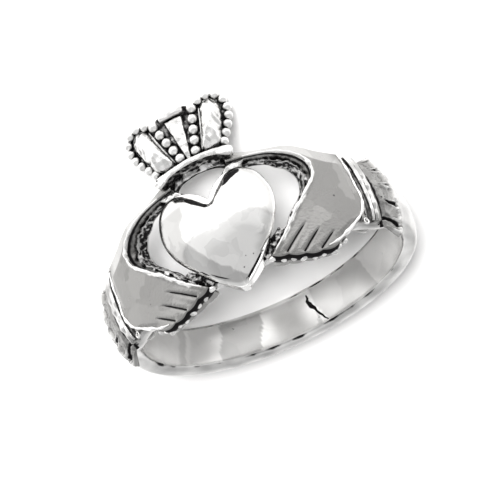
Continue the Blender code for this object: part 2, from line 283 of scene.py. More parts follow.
def slice_along(bm: Mesh, axis: int, cell: float) -> None:
    """Cuts a mesh into thin slices.

    Args:
        bm: The mesh.
        axis: The axis across the slices.
        cell: The widest that a slice may be.
    """
    low = min(v.co[axis] for v in bm.verts)
    high = max(v.co[axis] for v in bm.verts)
    count = math.ceil((high - low) / cell)
    normal = Vector([float(i == axis) for i in range(3)])
    for k in range(1, count):
        place = normal * (low + (high - low) * k / count)
        geometry = bm.verts[:] + bm.edges[:] + bm.faces[:]
        bmesh.ops.bisect_plane(bm, geom=geometry, dist=1e-5, plane_co=place, plane_no=normal)


def stain(bm: Mesh, mask: str, amount: Array) -> None:
    """Stores a mask on the vertices, keeping what is stronger already.

    Args:
        bm: The mesh.
        mask: The mask's name.
        amount: How strong it is on each vertex.
    """
    layer = bm.verts.layers.float.get(mask) or bm.verts.layers.float.new(mask)
    for vertex, value in zip(bm.verts, amount):
        vertex[layer] = max(vertex[layer], float(value))


def places(bm: Mesh) -> Array:
    """Where the vertices are, a row for each."""
    return np.array([v.co[:] for v in bm.verts])


@dataclass
class Plate:
    """A flat plate with a rounded upper rim, cut fine enough to carve and bend."""

    outline: Path
    low: float
    high: float
    rim: float = 0.08
    cell: float = 0.10
    wall_cell: float = 0.25

    def build(self) -> Mesh:
        """Makes the plate.

        Returns:
            A closed mesh, in millimetres.
        """
        bm = new_face(self.outline, self.low)
        top = extrude_cap(bm, bm.faces[:][0])
        bmesh.ops.translate(bm, verts=top.verts, vec=(0, 0, self.high - self.low))
        bmesh.ops.recalc_face_normals(bm, faces=bm.faces)
        edges = [e for e in bm.edges if all(v.co.z > self.high - 1e-6 for v in e.verts)]
        bmesh.ops.bevel(
            bm, geom=edges, offset=self.rim, offset_type="OFFSET", segments=3,
            profile=0.5, affect="EDGES", material=-1, clamp_overlap=False,
        )
        slice_along(bm, 0, self.cell)
        slice_along(bm, 1, self.cell)
        slice_along(bm, 2, self.wall_cell)
        return bm

    def paint(
        self, bm: Mesh, mask: str, top: Relief | None = None, wall: Relief | None = None,
        under: Relief | None = None,
    ) -> None:
        """Paints a mask on the plate before it is carved.

        Args:
            bm: The plate's mesh.
            mask: The mask's name.
            top: How strong it is on the upper face at a place, if anywhere.
            wall: How strong it is on the walls.
            under: How strong it is on the lower face.
        """
        x, y, z = places(bm).T
        share = (z - self.low) / (self.high - self.low)
        regions = ((top, share > 0.9), (wall, (share > 0.02) & (share < 0.93)), (under, share < 0.01))
        for amount, there in regions:
            if amount:
                stain(bm, mask, amount(x, y) * there)

    def carve(self, bm: Mesh, top: Relief | None, bottom: Relief | None) -> None:
        """Raises and lowers the plate's two faces, and stretches its walls between them.

        Args:
            bm: The plate's mesh.
            top: Height to add to the upper face at a place, if any.
            bottom: Height to add to the lower face at a place, if any.
        """
        x, y, z = places(bm).T
        share = (z - self.low) / (self.high - self.low)
        rise = np.zeros(len(x))
        if top:
            rise += top(x, y) * share
        if bottom:
            rise += bottom(x, y) * (1 - share)
        for vertex, dz in zip(bm.verts, rise):
            vertex.co.z += dz

    def cast(
        self, top: Relief | None, bottom: Relief | None, *coats: tuple[str | Relief | None, ...],
    ) -> Mesh:
        """Makes the plate, paints it and carves it.

        Args:
            top: Height to add to the upper face at a place, if any.
            bottom: Height to add to the lower face at a place, if any.
            coats: What to paint: a mask, and its strength on top, on the walls and under it.

        Returns:
            A closed mesh, in millimetres.
        """
        bm = self.build()
        for coat in coats:
            self.paint(bm, *coat)
        self.carve(bm, top, bottom)
        return bm


@dataclass
class Pillow:
    """A closed form that rises in rings from its outline towards a centre."""

    outline: Path
    centre: Vector
    low: float
    wall: float
    profile: Points
    roundness: float = 0.0

    def build(self) -> Mesh:
        """Makes the form.

        Returns:
            A closed mesh, in millimetres.
        """
        reach = sum((p - self.centre).length for p in self.outline) / len(self.outline)
        bm = new_face(self.outline, self.low)
        cap = bm.faces[:][0]
        rays = [v.co.xy - self.centre for v in cap.verts]
        for size, height in ((1.0, self.wall), *self.profile):
            cap = extrude_cap(bm, cap)
            blend = self.roundness * (1 - size)
            for vertex, ray in zip(cap.verts, rays):
                flat = self.centre + ray.lerp(ray.normalized() * reach, blend) * size
                vertex.co = (flat.x, flat.y, height)
        bmesh.ops.poke(bm, faces=[cap])
        bmesh.ops.recalc_face_normals(bm, faces=bm.faces)
        return bm


@dataclass
class Tube:
    """A round rod along a path, thinner towards its ends."""

    path: Path
    radius: float
    sides: int = 10
    taper: float = 0.5
    uneven: float = 0.0

    def build(self) -> Mesh:
        """Makes the rod.

        Returns:
            A closed mesh, in millimetres.
        """
        bm = bmesh.new()
        last = len(self.path) - 1
        for k, place in enumerate(self.path):
            along = (self.path[min(k + 1, last)] - self.path[max(k - 1, 0)]).normalized()
            across = along.cross(Vector((0, 0, 1))).normalized()
            up = across.cross(along)
            size = self.radius * (1 - self.taper * abs(2 * k / last - 1) ** 6)
            size *= 1 + self.uneven * noise.noise(place * 2.3)
            turns = [2 * math.pi * j / self.sides for j in range(self.sides)]
            ring = [place + (across * math.cos(t) + up * math.sin(t)) * size for t in turns]
            if k == 0:
                cap = bm.faces.new([bm.verts.new(co) for co in ring])
                continue
            cap = extrude_cap(bm, cap)
            for vertex, co in zip(cap.verts, ring):
                vertex.co = co
        bmesh.ops.recalc_face_normals(bm, faces=bm.faces)
        return bm


def add_ball(bm: Mesh, radius: float, place: Matrix) -> None:
    """Adds a fine ball to a mesh."""
    bmesh.ops.create_uvsphere(bm, u_segments=20, v_segments=12, radius=radius, matrix=place)


def mirrored(bm: Mesh) -> Mesh:
    """Copies a form to the other side of the head.

    Args:
        bm: The form.

    Returns:
        Its mirror image.
    """
    copy = bm.copy()
    bmesh.ops.scale(copy, verts=copy.verts, vec=(-1, 1, 1))
    bmesh.ops.reverse_faces(copy, faces=copy.faces)
    return copy


def joined(parts: list[Mesh]) -> Mesh:
    """Puts several meshes into one.

    Args:
        parts: The meshes, which are used up.

    Returns:
        The whole.
    """
    whole = bmesh.new()
    for part in parts:
        mesh = bpy.data.meshes.new("part")
        part.to_mesh(mesh)
        part.free()
        whole.from_mesh(mesh)
        bpy.data.meshes.remove(mesh)
    return whole


@dataclass(frozen=True)
class FingerHole:
    """The hole that the head bends round, and how the ring lies on the table."""

    radius: float = 8.65
    head_radius: float = 10.40
    straight: float = 2.20
    flare: float = 1.10
    flare_reach: float = 4.00
    lean: float = 19.217
    centre_y: float = 1.591
    centre_z: float = 4.592

    def lift(self, x: Array, y: Array) -> Array:
        """How much wider than its middle the hole is at a place along the finger."""
        share = np.clip((np.abs(y) - self.straight) / (self.flare_reach - self.straight), 0, 1.2)
        return self.flare * np.minimum(share ** 2, 1.0)

    def wrap(self, bm: Mesh) -> None:
        """Bends a flat form round the finger.

        Args:
            bm: The form, in millimetres.
        """
        for vertex in bm.verts:
            x, y, z = vertex.co
            turn, radius = x / self.head_radius, self.radius + z
            vertex.co = (radius * math.sin(turn), y, radius * math.cos(turn))

    def lay_down(self, bm: Mesh) -> None:
        """Lays a form down as the ring lies, on its crown and its band, in metres.

        Args:
            bm: The bent form, in millimetres.
        """
        lean = math.radians(self.lean)
        turn = Matrix((
            (-1, 0, 0),
            (0, -math.sin(lean), -math.cos(lean)),
            (0, -math.cos(lean), math.sin(lean)),
        )).to_4x4()
        place = Matrix.Translation((0, self.centre_y, self.centre_z))
        bmesh.ops.transform(bm, matrix=Matrix.Scale(MM, 4) @ place @ turn, verts=bm.verts)


HOLE = FingerHole()


# Finishes


def add_node(tree: Tree, kind: str, feeds: dict[str | int, object], **settings: object) -> bpy.types.Node:
    """Adds a shader node.

    Args:
        tree: The tree it goes into.
        kind: Its type, without the word ShaderNode.
        feeds: What its inputs take, each a socket to link or a value.
        settings: Its own settings.

    Returns:
        The node.
    """
    node = tree.nodes.new(f"ShaderNode{kind}")
    for name, value in settings.items():
        setattr(node, name, value)
    for name, value in feeds.items():
        if isinstance(value, Socket):
            tree.links.new(value, node.inputs[name])
        else:
            node.inputs[name].default_value = value
    return node


def calculate(tree: Tree, operation: str, *values: Socket | float) -> Socket:
    """Adds a math node with these inputs, and gives its output."""
    return add_node(tree, "Math", dict(enumerate(values)), operation=operation).outputs[0]


@dataclass(frozen=True)
class SilverFinish:
    """One finish of the silver: its colour and sheen, its film and pits, and the black in its hollows."""

    name: str
    colour: Triple = (0.90, 0.895, 0.885)
    roughness: float = 0.16
    grain: float = 0.05
    bump: float = 0.10
    black_from: float = 0.42
    black_to: float = 0.78
    film: float = 0.08
    patch: float = 300.0
    pits: float = 0.6
    mottle: float = 0.50
    marks: float = 9000.0
    depth: float = 0.00002

    def material(self, tarnish_and_painted_light: Tree, grain: Tree) -> bpy.types.Material:
        """Makes the material.

        Args:
            tarnish_and_painted_light: The group that finds the blackened hollows and paints highlights and
                shade.
            grain: The group that gives fine marks.

        Returns:
            The material.
        """
        material = bpy.data.materials.new(self.name)
        material.use_nodes = True
        tree = material.node_tree
        shader = tree.nodes["Principled BSDF"]
        shader.inputs["Metallic"].default_value = 1.0
        black = add_node(tree, "Group", {
            "Silver": (*self.colour, 1.0), "From": self.black_from, "To": self.black_to, "Film": self.film,
            "Patches": self.patch, "Pits": self.pits, "Mottle": self.mottle,
        }, node_tree=tarnish_and_painted_light).outputs
        fine = add_node(tree, "Group", {
            "Roughness": self.roughness, "Grain": self.grain, "Marks": self.marks,
        }, node_tree=grain).outputs
        dull = add_node(tree, "Math", {
            0: black["Extra Roughness"], 1: fine["Roughness"],
        }, operation="ADD", use_clamp=True)
        bump = add_node(tree, "Bump", {
            "Strength": self.bump, "Distance": self.depth, "Height": fine["Height"],
        })
        tree.links.new(black["Colour"], shader.inputs["Base Color"])
        tree.links.new(dull.outputs[0], shader.inputs["Roughness"])
        tree.links.new(bump.outputs["Normal"], shader.inputs["Normal"])
        return material


class Finish(Enum):
    """How a surface of the casting was finished."""

    POLISHED = SilverFinish("polished_silver")
    # Satin silver; its dark colour is partly painted shade for the darker surroundings that it mirrors.
    SHADED_SATIN = SilverFinish(
        "shaded_satin_silver", (0.31, 0.307, 0.30), roughness=0.21, grain=0.10, bump=0.75, film=0.22, patch=650.0,
        marks=6000.0,
    )
    AS_CAST = SilverFinish(
        "as_cast_silver", (0.80, 0.795, 0.79), roughness=0.24, grain=0.15, bump=0.80, black_from=0.38,
        black_to=0.60, film=0.45, patch=2400.0, pits=0.0, mottle=1.20, marks=3200.0, depth=0.00010,
    )
    CAST_BRIGHT = SilverFinish(
        "rough_bright_silver", (0.93, 0.925, 0.915), grain=0.15, bump=0.60, film=0.30, patch=1500.0,
        pits=0.9, mottle=0.8, marks=2600.0, depth=0.00009,
    )
    GREY_CAST = SilverFinish(
        "rough_grey_silver", (0.35, 0.347, 0.34), roughness=0.18, grain=0.15, bump=0.60, black_from=0.50,
        black_to=0.86, film=0.40, patch=1700.0, pits=0.9, mottle=0.8, marks=2600.0, depth=0.00009,
    )
    BEADED = SilverFinish(
        "beaded_silver", (0.95, 0.945, 0.935), roughness=0.26, grain=0.10, bump=0.30, film=0.20, patch=1500.0,
    )
    PUFFED = SilverFinish(
        "puffed_silver", roughness=0.11, bump=0.40, black_from=0.85, black_to=1.20, film=0.12, patch=900.0,
        pits=0.7, marks=1800.0, depth=0.00003,
    )
    WORN_INSIDE = SilverFinish(
        "worn_silver", (0.92, 0.915, 0.905), roughness=0.20, grain=0.08, patch=500.0, pits=0.3,
    )


def start_group(name: str, inputs: tuple[str, ...], outputs: tuple[str, ...]) -> Tree:
    """Starts a shader node group.

    Args:
        name: Its name.
        inputs: The names of its inputs.
        outputs: The names of its outputs.

    Returns:
        The group, with its input and output nodes.
    """
    tree = bpy.data.node_groups.new(name, "ShaderNodeTree")
    for direction, labels in (("INPUT", inputs), ("OUTPUT", outputs)):
        for label in labels:
            kind = "NodeSocketColor" if label in ("Silver", "Colour") else "NodeSocketFloat"
            tree.interface.new_socket(label, in_out=direction, socket_type=kind)
    tree.nodes.new("NodeGroupInput")
    tree.nodes.new("NodeGroupOutput")
    return tree


def pit_mask(tree: Tree, place: Socket) -> Socket:
    """Adds a mask of sparse small pits.

    Args:
        tree: The tree it goes into.
        place: Where the surface is.

    Returns:
        The mask.
    """
    cells = add_node(tree, "TexVoronoi", {"Vector": place, "Scale": 2600.0})
    random = add_node(tree, "SeparateColor", {"Color": cells.outputs["Color"]}).outputs
    size = calculate(tree, "MULTIPLY", random["Green"], 0.20)
    close = calculate(tree, "LESS_THAN", cells.outputs["Distance"], size)
    chosen = calculate(tree, "GREATER_THAN", random["Red"], 0.90)
    return calculate(tree, "MULTIPLY", close, chosen)


def film_patches(tree: Tree, place: Socket, scale: Socket) -> Socket:
    """Adds uneven patches, each of an even strength from 0 to 1.

    Args:
        tree: The tree they go into.
        place: Where the surface is.
        scale: How many patches there are to a metre.

    Returns:
        Their strength.
    """
    bend = add_node(tree, "TexNoise", {"Vector": place, "Scale": 900.0, "Detail": 2.0})
    shift = add_node(tree, "VectorMath", {
        0: bend.outputs["Color"], 1: (0.0012, 0.0012, 0.0012), 2: place,
    }, operation="MULTIPLY_ADD")
    cells = add_node(tree, "TexVoronoi", {"Vector": shift.outputs[0], "Scale": scale})
    return add_node(tree, "SeparateColor", {"Color": cells.outputs["Color"]}).outputs["Red"]


def tarnish_and_painted_light_group() -> Tree:
    """Makes the group that blackens hollows and pits, brightens rubbed places and painted highlights, and
    dulls filmed places and painted shade.

    Returns:
        The group.
    """
    inputs = ("Silver", "From", "To", "Film", "Patches", "Pits", "Mottle")
    tree = start_group("Tarnish", inputs, ("Colour", "Extra Roughness"))
    given, out = tree.nodes["Group Input"].outputs, tree.nodes["Group Output"].inputs
    place = add_node(tree, "TexCoord", {}).outputs["Object"]
    hollow, wear_and_highlight, coat = (
        add_node(tree, "Attribute", {}, attribute_name=mask).outputs["Fac"] for mask in (HOLLOW, WEAR_AND_HIGHLIGHT, FILM_AND_PAINTED_SHADE)
    )
    cloud = add_node(tree, "TexNoise", {"Vector": place, "Scale": 3400.0, "Detail": 4.0})
    around_zero = calculate(tree, "SUBTRACT", cloud.outputs["Fac"], 0.5)
    depth = calculate(tree, "MULTIPLY_ADD", around_zero, given["Mottle"], hollow)
    mask = add_node(tree, "MapRange", {
        "Value": depth, "From Min": given["From"], "From Max": given["To"],
    }, interpolation_type="SMOOTHSTEP")
    pits = calculate(tree, "MULTIPLY", pit_mask(tree, place), given["Pits"])
    black = calculate(tree, "MAXIMUM", mask.outputs["Result"], pits)
    # Rubbed wear and painted highlights lighten the colour.
    rubbed = add_node(tree, "Mix", {
        "Factor": wear_and_highlight, "A": given["Silver"], "B": WEAR_AND_HIGHLIGHT_SILVER,
    }, data_type="RGBA")
    film = calculate(tree, "MULTIPLY", film_patches(tree, place, given["Patches"]), given["Film"])
    # The stored film mask also carries painted shade.
    film = calculate(tree, "MULTIPLY_ADD", coat, 0.6, film)
    clear = calculate(tree, "SUBTRACT", 1.0, film)
    filmed = add_node(tree, "VectorMath", {
        0: rubbed.outputs["Result"], "Scale": clear,
    }, operation="SCALE")
    colour = add_node(tree, "Mix", {
        "Factor": black, "A": filmed.outputs[0], "B": BLACK_OXIDE,
    }, data_type="RGBA")
    tree.links.new(colour.outputs["Result"], out["Colour"])
    tree.links.new(calculate(tree, "MULTIPLY", black, 0.38), out["Extra Roughness"])
    return tree


def grain_group() -> Tree:
    """Makes the group that gives fine marks and an uneven sheen.

    Returns:
        The group.
    """
    tree = start_group("Grain", ("Roughness", "Grain", "Marks"), ("Roughness", "Height"))
    given, out = tree.nodes["Group Input"].outputs, tree.nodes["Group Output"].inputs
    place = add_node(tree, "TexCoord", {}).outputs["Object"]
    fine = add_node(tree, "TexNoise", {"Vector": place, "Scale": given["Marks"], "Detail": 3.0})
    broad = add_node(tree, "TexNoise", {"Vector": place, "Scale": 700.0, "Detail": 2.0})
    sheen = calculate(tree, "MULTIPLY_ADD", broad.outputs["Fac"], given["Grain"], given["Roughness"])
    tree.links.new(sheen, out["Roughness"])
    tree.links.new(fine.outputs["Fac"], out["Height"])
    return tree


def silver_materials() -> dict[Finish, bpy.types.Material]:
    """The material of each finish."""
    tarnish_and_painted_light, grain = tarnish_and_painted_light_group(), grain_group()
    return {finish: finish.value.material(tarnish_and_painted_light, grain) for finish in Finish}


@dataclass
class Casting:
    """Gathers the forms of the ring as finished pieces."""

    materials: dict[Finish, bpy.types.Material]
    pieces: list[bpy.types.Object] = field(default_factory=list)
    reach: float = 0.75
    rays: int = 20
    clear: float = 0.02
    blur: float = 0.6
    blur_rounds: int = 2

    def add(self, name: str, bm: Mesh, finish: Finish, bent: bool = True) -> None:
        """Makes a form a piece of the ring.

        Args:
            name: The piece's name.
            bm: Its mesh, in millimetres; it is used up.
            finish: How its surface is finished.
            bent: Whether it still has to be bent round the finger.
        """
        if bent:
            HOLE.wrap(bm)
        HOLE.lay_down(bm)
        mesh = bpy.data.meshes.new(name)
        bm.to_mesh(mesh)
        bm.free()
        mesh.shade_smooth()
        mesh.materials.append(self.materials[finish])
        piece = bpy.data.objects.new(name, mesh)
        bpy.context.scene.collection.objects.link(piece)
        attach(piece, "root")
        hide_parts(NODE)
        self.pieces.append(piece)
        log.info("%s: %d faces", name, len(mesh.polygons))

    def add_pair(self, name: str, bm: Mesh, finish: Finish) -> None:
        """Adds a right form and its mirror image on the left."""
        self.add(f"{name}_{Side.LEFT.label}", mirrored(bm), finish)
        self.add(f"{name}_{Side.RIGHT.label}", bm, finish)

    def mark_hollows(self) -> None:
        """Stores on each vertex how much metal stands close around it."""
        corners, faces = [], []
        for piece in self.pieces:
            start = len(corners)
            corners += [v.co / MM for v in piece.data.vertices]
            faces += [[start + i for i in p.vertices] for p in piece.data.polygons]
        metal = BVHTree.FromPolygons(corners, faces)
        golden = math.pi * (3 - math.sqrt(5))
        fan = []
        for k in range(self.rays):
            up = math.sqrt(1 - (k + 0.5) / self.rays)
            out = math.sqrt(1 - up * up)
            fan.append(Vector((out * math.cos(k * golden), out * math.sin(k * golden), up)))
        for piece in self.pieces:
            self._mark_piece(piece.data, metal, fan)

    def _mark_piece(self, mesh: bpy.types.Mesh, metal: BVHTree, fan: Path) -> None:
        """Measures and smooths the hollows of one mesh.

        Args:
            mesh: The mesh.
            metal: All the ring's faces, in millimetres.
            fan: The directions to try, for a normal that points up.
        """
        found = np.zeros(len(mesh.vertices))
        for i, vertex in enumerate(mesh.vertices):
            turn = vertex.normal.to_track_quat("Z", "Y")
            start = vertex.co / MM + vertex.normal * self.clear
            hits = sum(metal.ray_cast(start, turn @ ray, self.reach)[0] is not None for ray in fan)
            found[i] = hits / len(fan)
        ends = np.empty(len(mesh.edges) * 2, dtype=np.int32)
        mesh.edges.foreach_get("vertices", ends)
        a, b = ends[0::2], ends[1::2]
        count = np.bincount(a, minlength=len(found)) + np.bincount(b, minlength=len(found))
        for _ in range(self.blur_rounds):
            near = (np.bincount(a, weights=found[b], minlength=len(found))
                    + np.bincount(b, weights=found[a], minlength=len(found)))
            found = (1 - self.blur) * found + self.blur * near / np.maximum(count, 1)
        layer = mesh.attributes.get(HOLLOW) or mesh.attributes.new(HOLLOW, "FLOAT", "POINT")
        painted = np.empty(len(found), dtype=np.float32)
        layer.data.foreach_get("value", painted)
        layer.data.foreach_set("value", np.maximum(found, painted).astype(np.float32))


# Forms of the head


@dataclass
class Hand:
    """The right hand with its arm, from the crown's foot round the opening to the wrist."""

    thickness: float = 1.75
    half_spread: float = 4.0
    edge_drop: float = 0.24
    facet_drop: float = 0.24
    # Strength of the painted highlight on the upper facet.
    facet_highlight: float = 0.42
    wrist_drop: float = 0.34
    rim_swell: float = 0.04
    finger_swell: float = 0.03
    line_width: float = 0.05
    line_depth: float = 0.13
    tip_bulge: float = 0.12
    rubbed: float = 0.80
    lip: float = 0.17
    knob: float = 0.15
    knob_drop: float = 0.38
    knob_length: float = 0.25
    knob_count: int = 9
    rim_radius: float = 0.10
    ledge_reach: float = 0.17
    ledge_height: float = 0.92
    upper: Points = (
        (1.84, 4.12), (4.14, 3.76), (5.70, 3.58), (6.62, 3.24), (7.36, 2.86), (8.28, 2.56), (9.12, 2.36),
    )
    lower: Points = (
        (9.12, -1.80), (8.28, -2.20), (7.08, -2.96), (6.07, -3.42), (5.24, -3.56), (4.14, -3.46),
        (3.04, -3.16), (2.10, -2.90),
    )
    inner: Points = (
        (2.10, -2.90), (3.20, -2.0), (4.40, -0.76), (5.30, 0.08), (6.21, 1.0), (6.44, 1.84),
        (6.03, 2.52), (5.20, 3.0), (4.0, 3.36), (1.84, 3.60),
    )
    wrist: Points = (
        (8.84, 2.40), (8.98, 1.5), (9.04, 0.6), (9.00, -0.4), (8.84, -1.15), (8.46, -1.86), (7.80, -2.36),
        (6.95, -2.88), (6.07, -3.30), (5.50, -3.44),
    )
    across_wrist: int = 7
    lines: tuple[Points, ...] = (
        ((4.85, -1.62), (4.05, -2.2), (3.02, -3.02)),
        ((5.50, -2.16), (4.9, -2.6), (4.00, -3.34)),
        ((6.30, -2.56), (5.8, -2.9), (5.05, -3.46)),
    )
    tips: tuple[float, ...] = (2.1, 3.02, 4.02, 5.07, 6.3)

    @staticmethod
    def edge(points: Points) -> Path:
        """A smooth edge of the hand."""
        return smooth_path(points, 6)

    def fingertips(self) -> Path:
        """Draws the lower edge with its rounded fingertips.

        Returns:
            The edge.
        """
        path = []
        for p in smooth_path(self.lower, 14):
            for low, high in zip(self.tips, self.tips[1:]):
                if low < p.x < high:
                    swell = math.sin(math.pi * (p.x - low) / (high - low)) ** 0.6
                    p = p - Vector((0, self.tip_bulge * swell))
                    break
            path.append(p)
        return path

    @staticmethod
    def border(x: Array) -> Array:
        """How wide the sloping border is on the way from the crown to the wrist."""
        return 0.42 + 0.55 * ease(4.0, 8.0, x)

    @staticmethod
    def on_arm(x: Array) -> Array:
        """How far a place is clear of the crown's foot."""
        return ease(2.2, 3.6, x)

    @staticmethod
    def stroke(share: Array) -> Array:
        """How strong a graver's stroke is along its length: thin at first, deep at the fingertip."""
        return ease(0.0, 0.35, share)

    def wrist_at(self, y: Array) -> Array:
        """How far across the wrist's rim lies at a place along the finger."""
        rows = sorted((b, a) for a, b in self.wrist[:self.across_wrist])
        return np.interp(y, [b for b, _ in rows], [a for _, a in rows])

    def facets(self, x: Array, y: Array) -> tuple[Array, Array]:
        """The sloping border of the hand's back.

        Args:
            x: Places across.
            y: Places along.

        Returns:
            How far down its slope a place is, and how close to the crease above it.
        """
        to_upper = away_from(self.edge(self.upper), x, y)
        to_lower, along = distance_to(self.edge(self.lower), x, y)
        to_wrist = away_from(smooth_path(self.wrist[:self.across_wrist], 4), x, y)
        on_heel = 1 - ease(0.34, 0.46, along)
        slopes = (
            (1 - to_upper / self.border(x), self.on_arm(x)),
            (1 - to_wrist / 0.60, 0.75 * ease(-1.0, 0.2, y)),
            (1 - to_lower / 0.45, on_heel * 0.75 * (1 - ease(-2.6, -2.0, y))),
        )
        slope = np.zeros(x.shape)
        for fall, strength in slopes:
            slope = np.maximum(slope, np.clip(fall, 0, 1) * strength)
        return slope, hill(slope - 0.05, 0.07) * (slope > 0)

    def relief(self, x: Array, y: Array) -> Array:
        """Shapes the hand's back: its dome, sloping border and finger lines.

        Args:
            x: Places across.
            y: Places along.

        Returns:
            The heights to add.
        """
        rise = -self.edge_drop * np.minimum(np.abs(y) / self.half_spread, 1.0) ** 2
        rise -= self.facet_drop * self.facets(x, y)[0]
        rise += self.rim_swell * hill(away_from(self.edge(self.inner), x, y) - 0.12, 0.12)
        rise -= self.wrist_drop * ease(0.02, 0.14, x - self.wrist_at(y))
        for line in self.lines:
            to_line, share = distance_to(smooth_path(line, 4), x, y)
            rise -= self.line_depth * self.stroke(share) * hill(to_line, self.line_width)
            rise += self.finger_swell * hill(to_line - 0.26, 0.16) * ease(0.2, 0.9, share)
        return rise

    def black(self, x: Array, y: Array) -> Array:
        """Blackens the finger lines, the crease of the border and the foot of the wrist's rim.

        Args:
            x: Places across.
            y: Places along.

        Returns:
            How black they are.
        """
        amount = 0.50 * self.facets(x, y)[1]
        for line in self.lines:
            to_line, share = distance_to(smooth_path(line, 4), x, y)
            amount = np.maximum(amount, (0.55 + 0.65 * self.stroke(share)) * hill(to_line, self.line_width))
        return np.maximum(amount, ease(0.03, 0.10, x - self.wrist_at(y)))

    def bright(self, x: Array, y: Array) -> Array:
        """Paints highlights, which also stand as rubbed wear, on the back above the opening and along its
        lower rim.

        Args:
            x: Places across.
            y: Places along.

        Returns:
            How strong the painted highlight is.
        """
        to_upper = away_from(self.edge(self.upper), x, y)
        # Painted highlight on the upper facet of the border.
        facet = self.facet_highlight * ease(0.0, 0.12, self.border(x) - to_upper) * self.on_arm(x)
        facet *= 1 - ease(7.9, 8.9, x)
        # Painted highlight along the opening's lower rim.
        to_inner = away_from(self.edge(self.inner), x, y) + rough(0.20, 8.1)(x * 0.5, y * 0.5)
        rim = (1 - ease(0.14, 0.22, to_inner)) * ease(2.6, 3.4, x) * (1 - ease(2.3, 2.9, y))
        return np.maximum(facet, rim)

    def undercut(self, bm: Mesh) -> None:
        """Widens the wall under the fingertips to a dark lip, and blackens it and the opening.

        Args:
            bm: The hand's mesh, not carved yet.
        """
        x, y, z = places(bm).T
        far, share = distance_to(self.fingertips(), x, y)
        below = self.thickness - z
        on_wall = (far < 0.03) & (share > 0.36)
        fade = ease(0.36, 0.46, share)
        for vertex, go, near in zip(bm.verts, self.lip * ease(0.06, 0.45, below) * fade, on_wall):
            if near:
                vertex.co.y -= go
        line = 1.15 * ease(0.07, 0.11, below) * (1 - ease(0.8, 1.0, below))
        stain(bm, HOLLOW, np.where(on_wall, line * fade, 0.0))
        to_inner = away_from(self.edge(self.inner), x, y)
        wall = 0.46 + 0.60 * hill(below - 0.22, 0.15)
        stain(bm, HOLLOW, np.where((to_inner < 0.03) & (below > 0.09), wall, 0.0))

    def build(self) -> Mesh:
        """Makes the right hand.

        Returns:
            Its mesh.
        """
        outline = self.edge(self.upper) + self.fingertips()[:-1] + self.edge(self.inner)
        plate = Plate(outline, 0.0, self.thickness, rim=0.06, cell=0.05, wall_cell=0.08)
        bm = plate.build()
        plate.paint(bm, HOLLOW, self.black)
        # Painted highlights on the back, and rubbed wear on the underside.
        plate.paint(bm, WEAR_AND_HIGHLIGHT, self.bright, under=even(self.rubbed))
        self.undercut(bm)
        plate.carve(bm, self.relief, HOLE.lift)
        return bm

    def knobs(self) -> Mesh:
        """Makes the row of small knobs under the fingertips.

        Returns:
            Their mesh.
        """
        path = [p for p in self.fingertips() if p.x < 7.0]
        bm = bmesh.new()
        for number, place in enumerate(spread(path, self.knob_count)):
            nearest = min(range(1, len(path) - 1), key=lambda i: (path[i] - place).length)
            along = (path[nearest + 1] - path[nearest - 1]).normalized()
            turn = math.atan2(along.y, along.x) + 0.8 * math.sin(number * 2.6)
            grow = 0.95 + 0.30 * math.sin(number * 4.1)
            rise = self.relief(np.array([place.x]), np.array([place.y]))[0]
            height = self.thickness + rise - self.knob_drop
            spot = Matrix.Translation((place.x, place.y - 0.6 * self.lip, height))
            size = Matrix.Diagonal((self.knob_length * grow, self.knob * 1.1, self.knob * grow, 1.0))
            add_ball(bm, 1.0, spot @ Matrix.Rotation(turn, 4, "Z") @ size)
        return bm

    def rims(self) -> Mesh:
        """Makes the bright rims along the opening and from the wrist round the heel.

        Returns:
            Their mesh.
        """
        rods = []
        for path, away in ((self.edge(self.inner)[2:-3], 0.055), (self.edge(self.wrist), 0.0)):
            flat = beside(path, away)
            rise = self.relief(np.array([p.x for p in flat]), np.array([p.y for p in flat]))
            raised = [Vector((p.x, p.y, self.thickness + dz + 0.01)) for p, dz in zip(flat, rise)]
            rods.append(Tube(raised, self.rim_radius, uneven=0.9).build())
        return joined(rods)

    def ledge(self) -> Mesh:
        """Makes the rough step inside the opening, under the hand's rim.

        Returns:
            Its mesh.
        """
        rim = self.edge(self.inner)[4:-1]
        ragged = []
        for i, p in enumerate(beside(rim, -self.ledge_reach)):
            ragged.append(p + (p - rim[i]) * 0.5 * noise.noise((i * 0.23, 0.5, 0.5)))
        outline = ragged + list(reversed(beside(rim, 0.2)))
        plate = Plate(outline, 0.02, self.ledge_height, rim=0.05, cell=0.08, wall_cell=0.10)
        return plate.cast(rough(0.20, 3.1), HOLE.lift, (HOLLOW, None, even(0.55)))


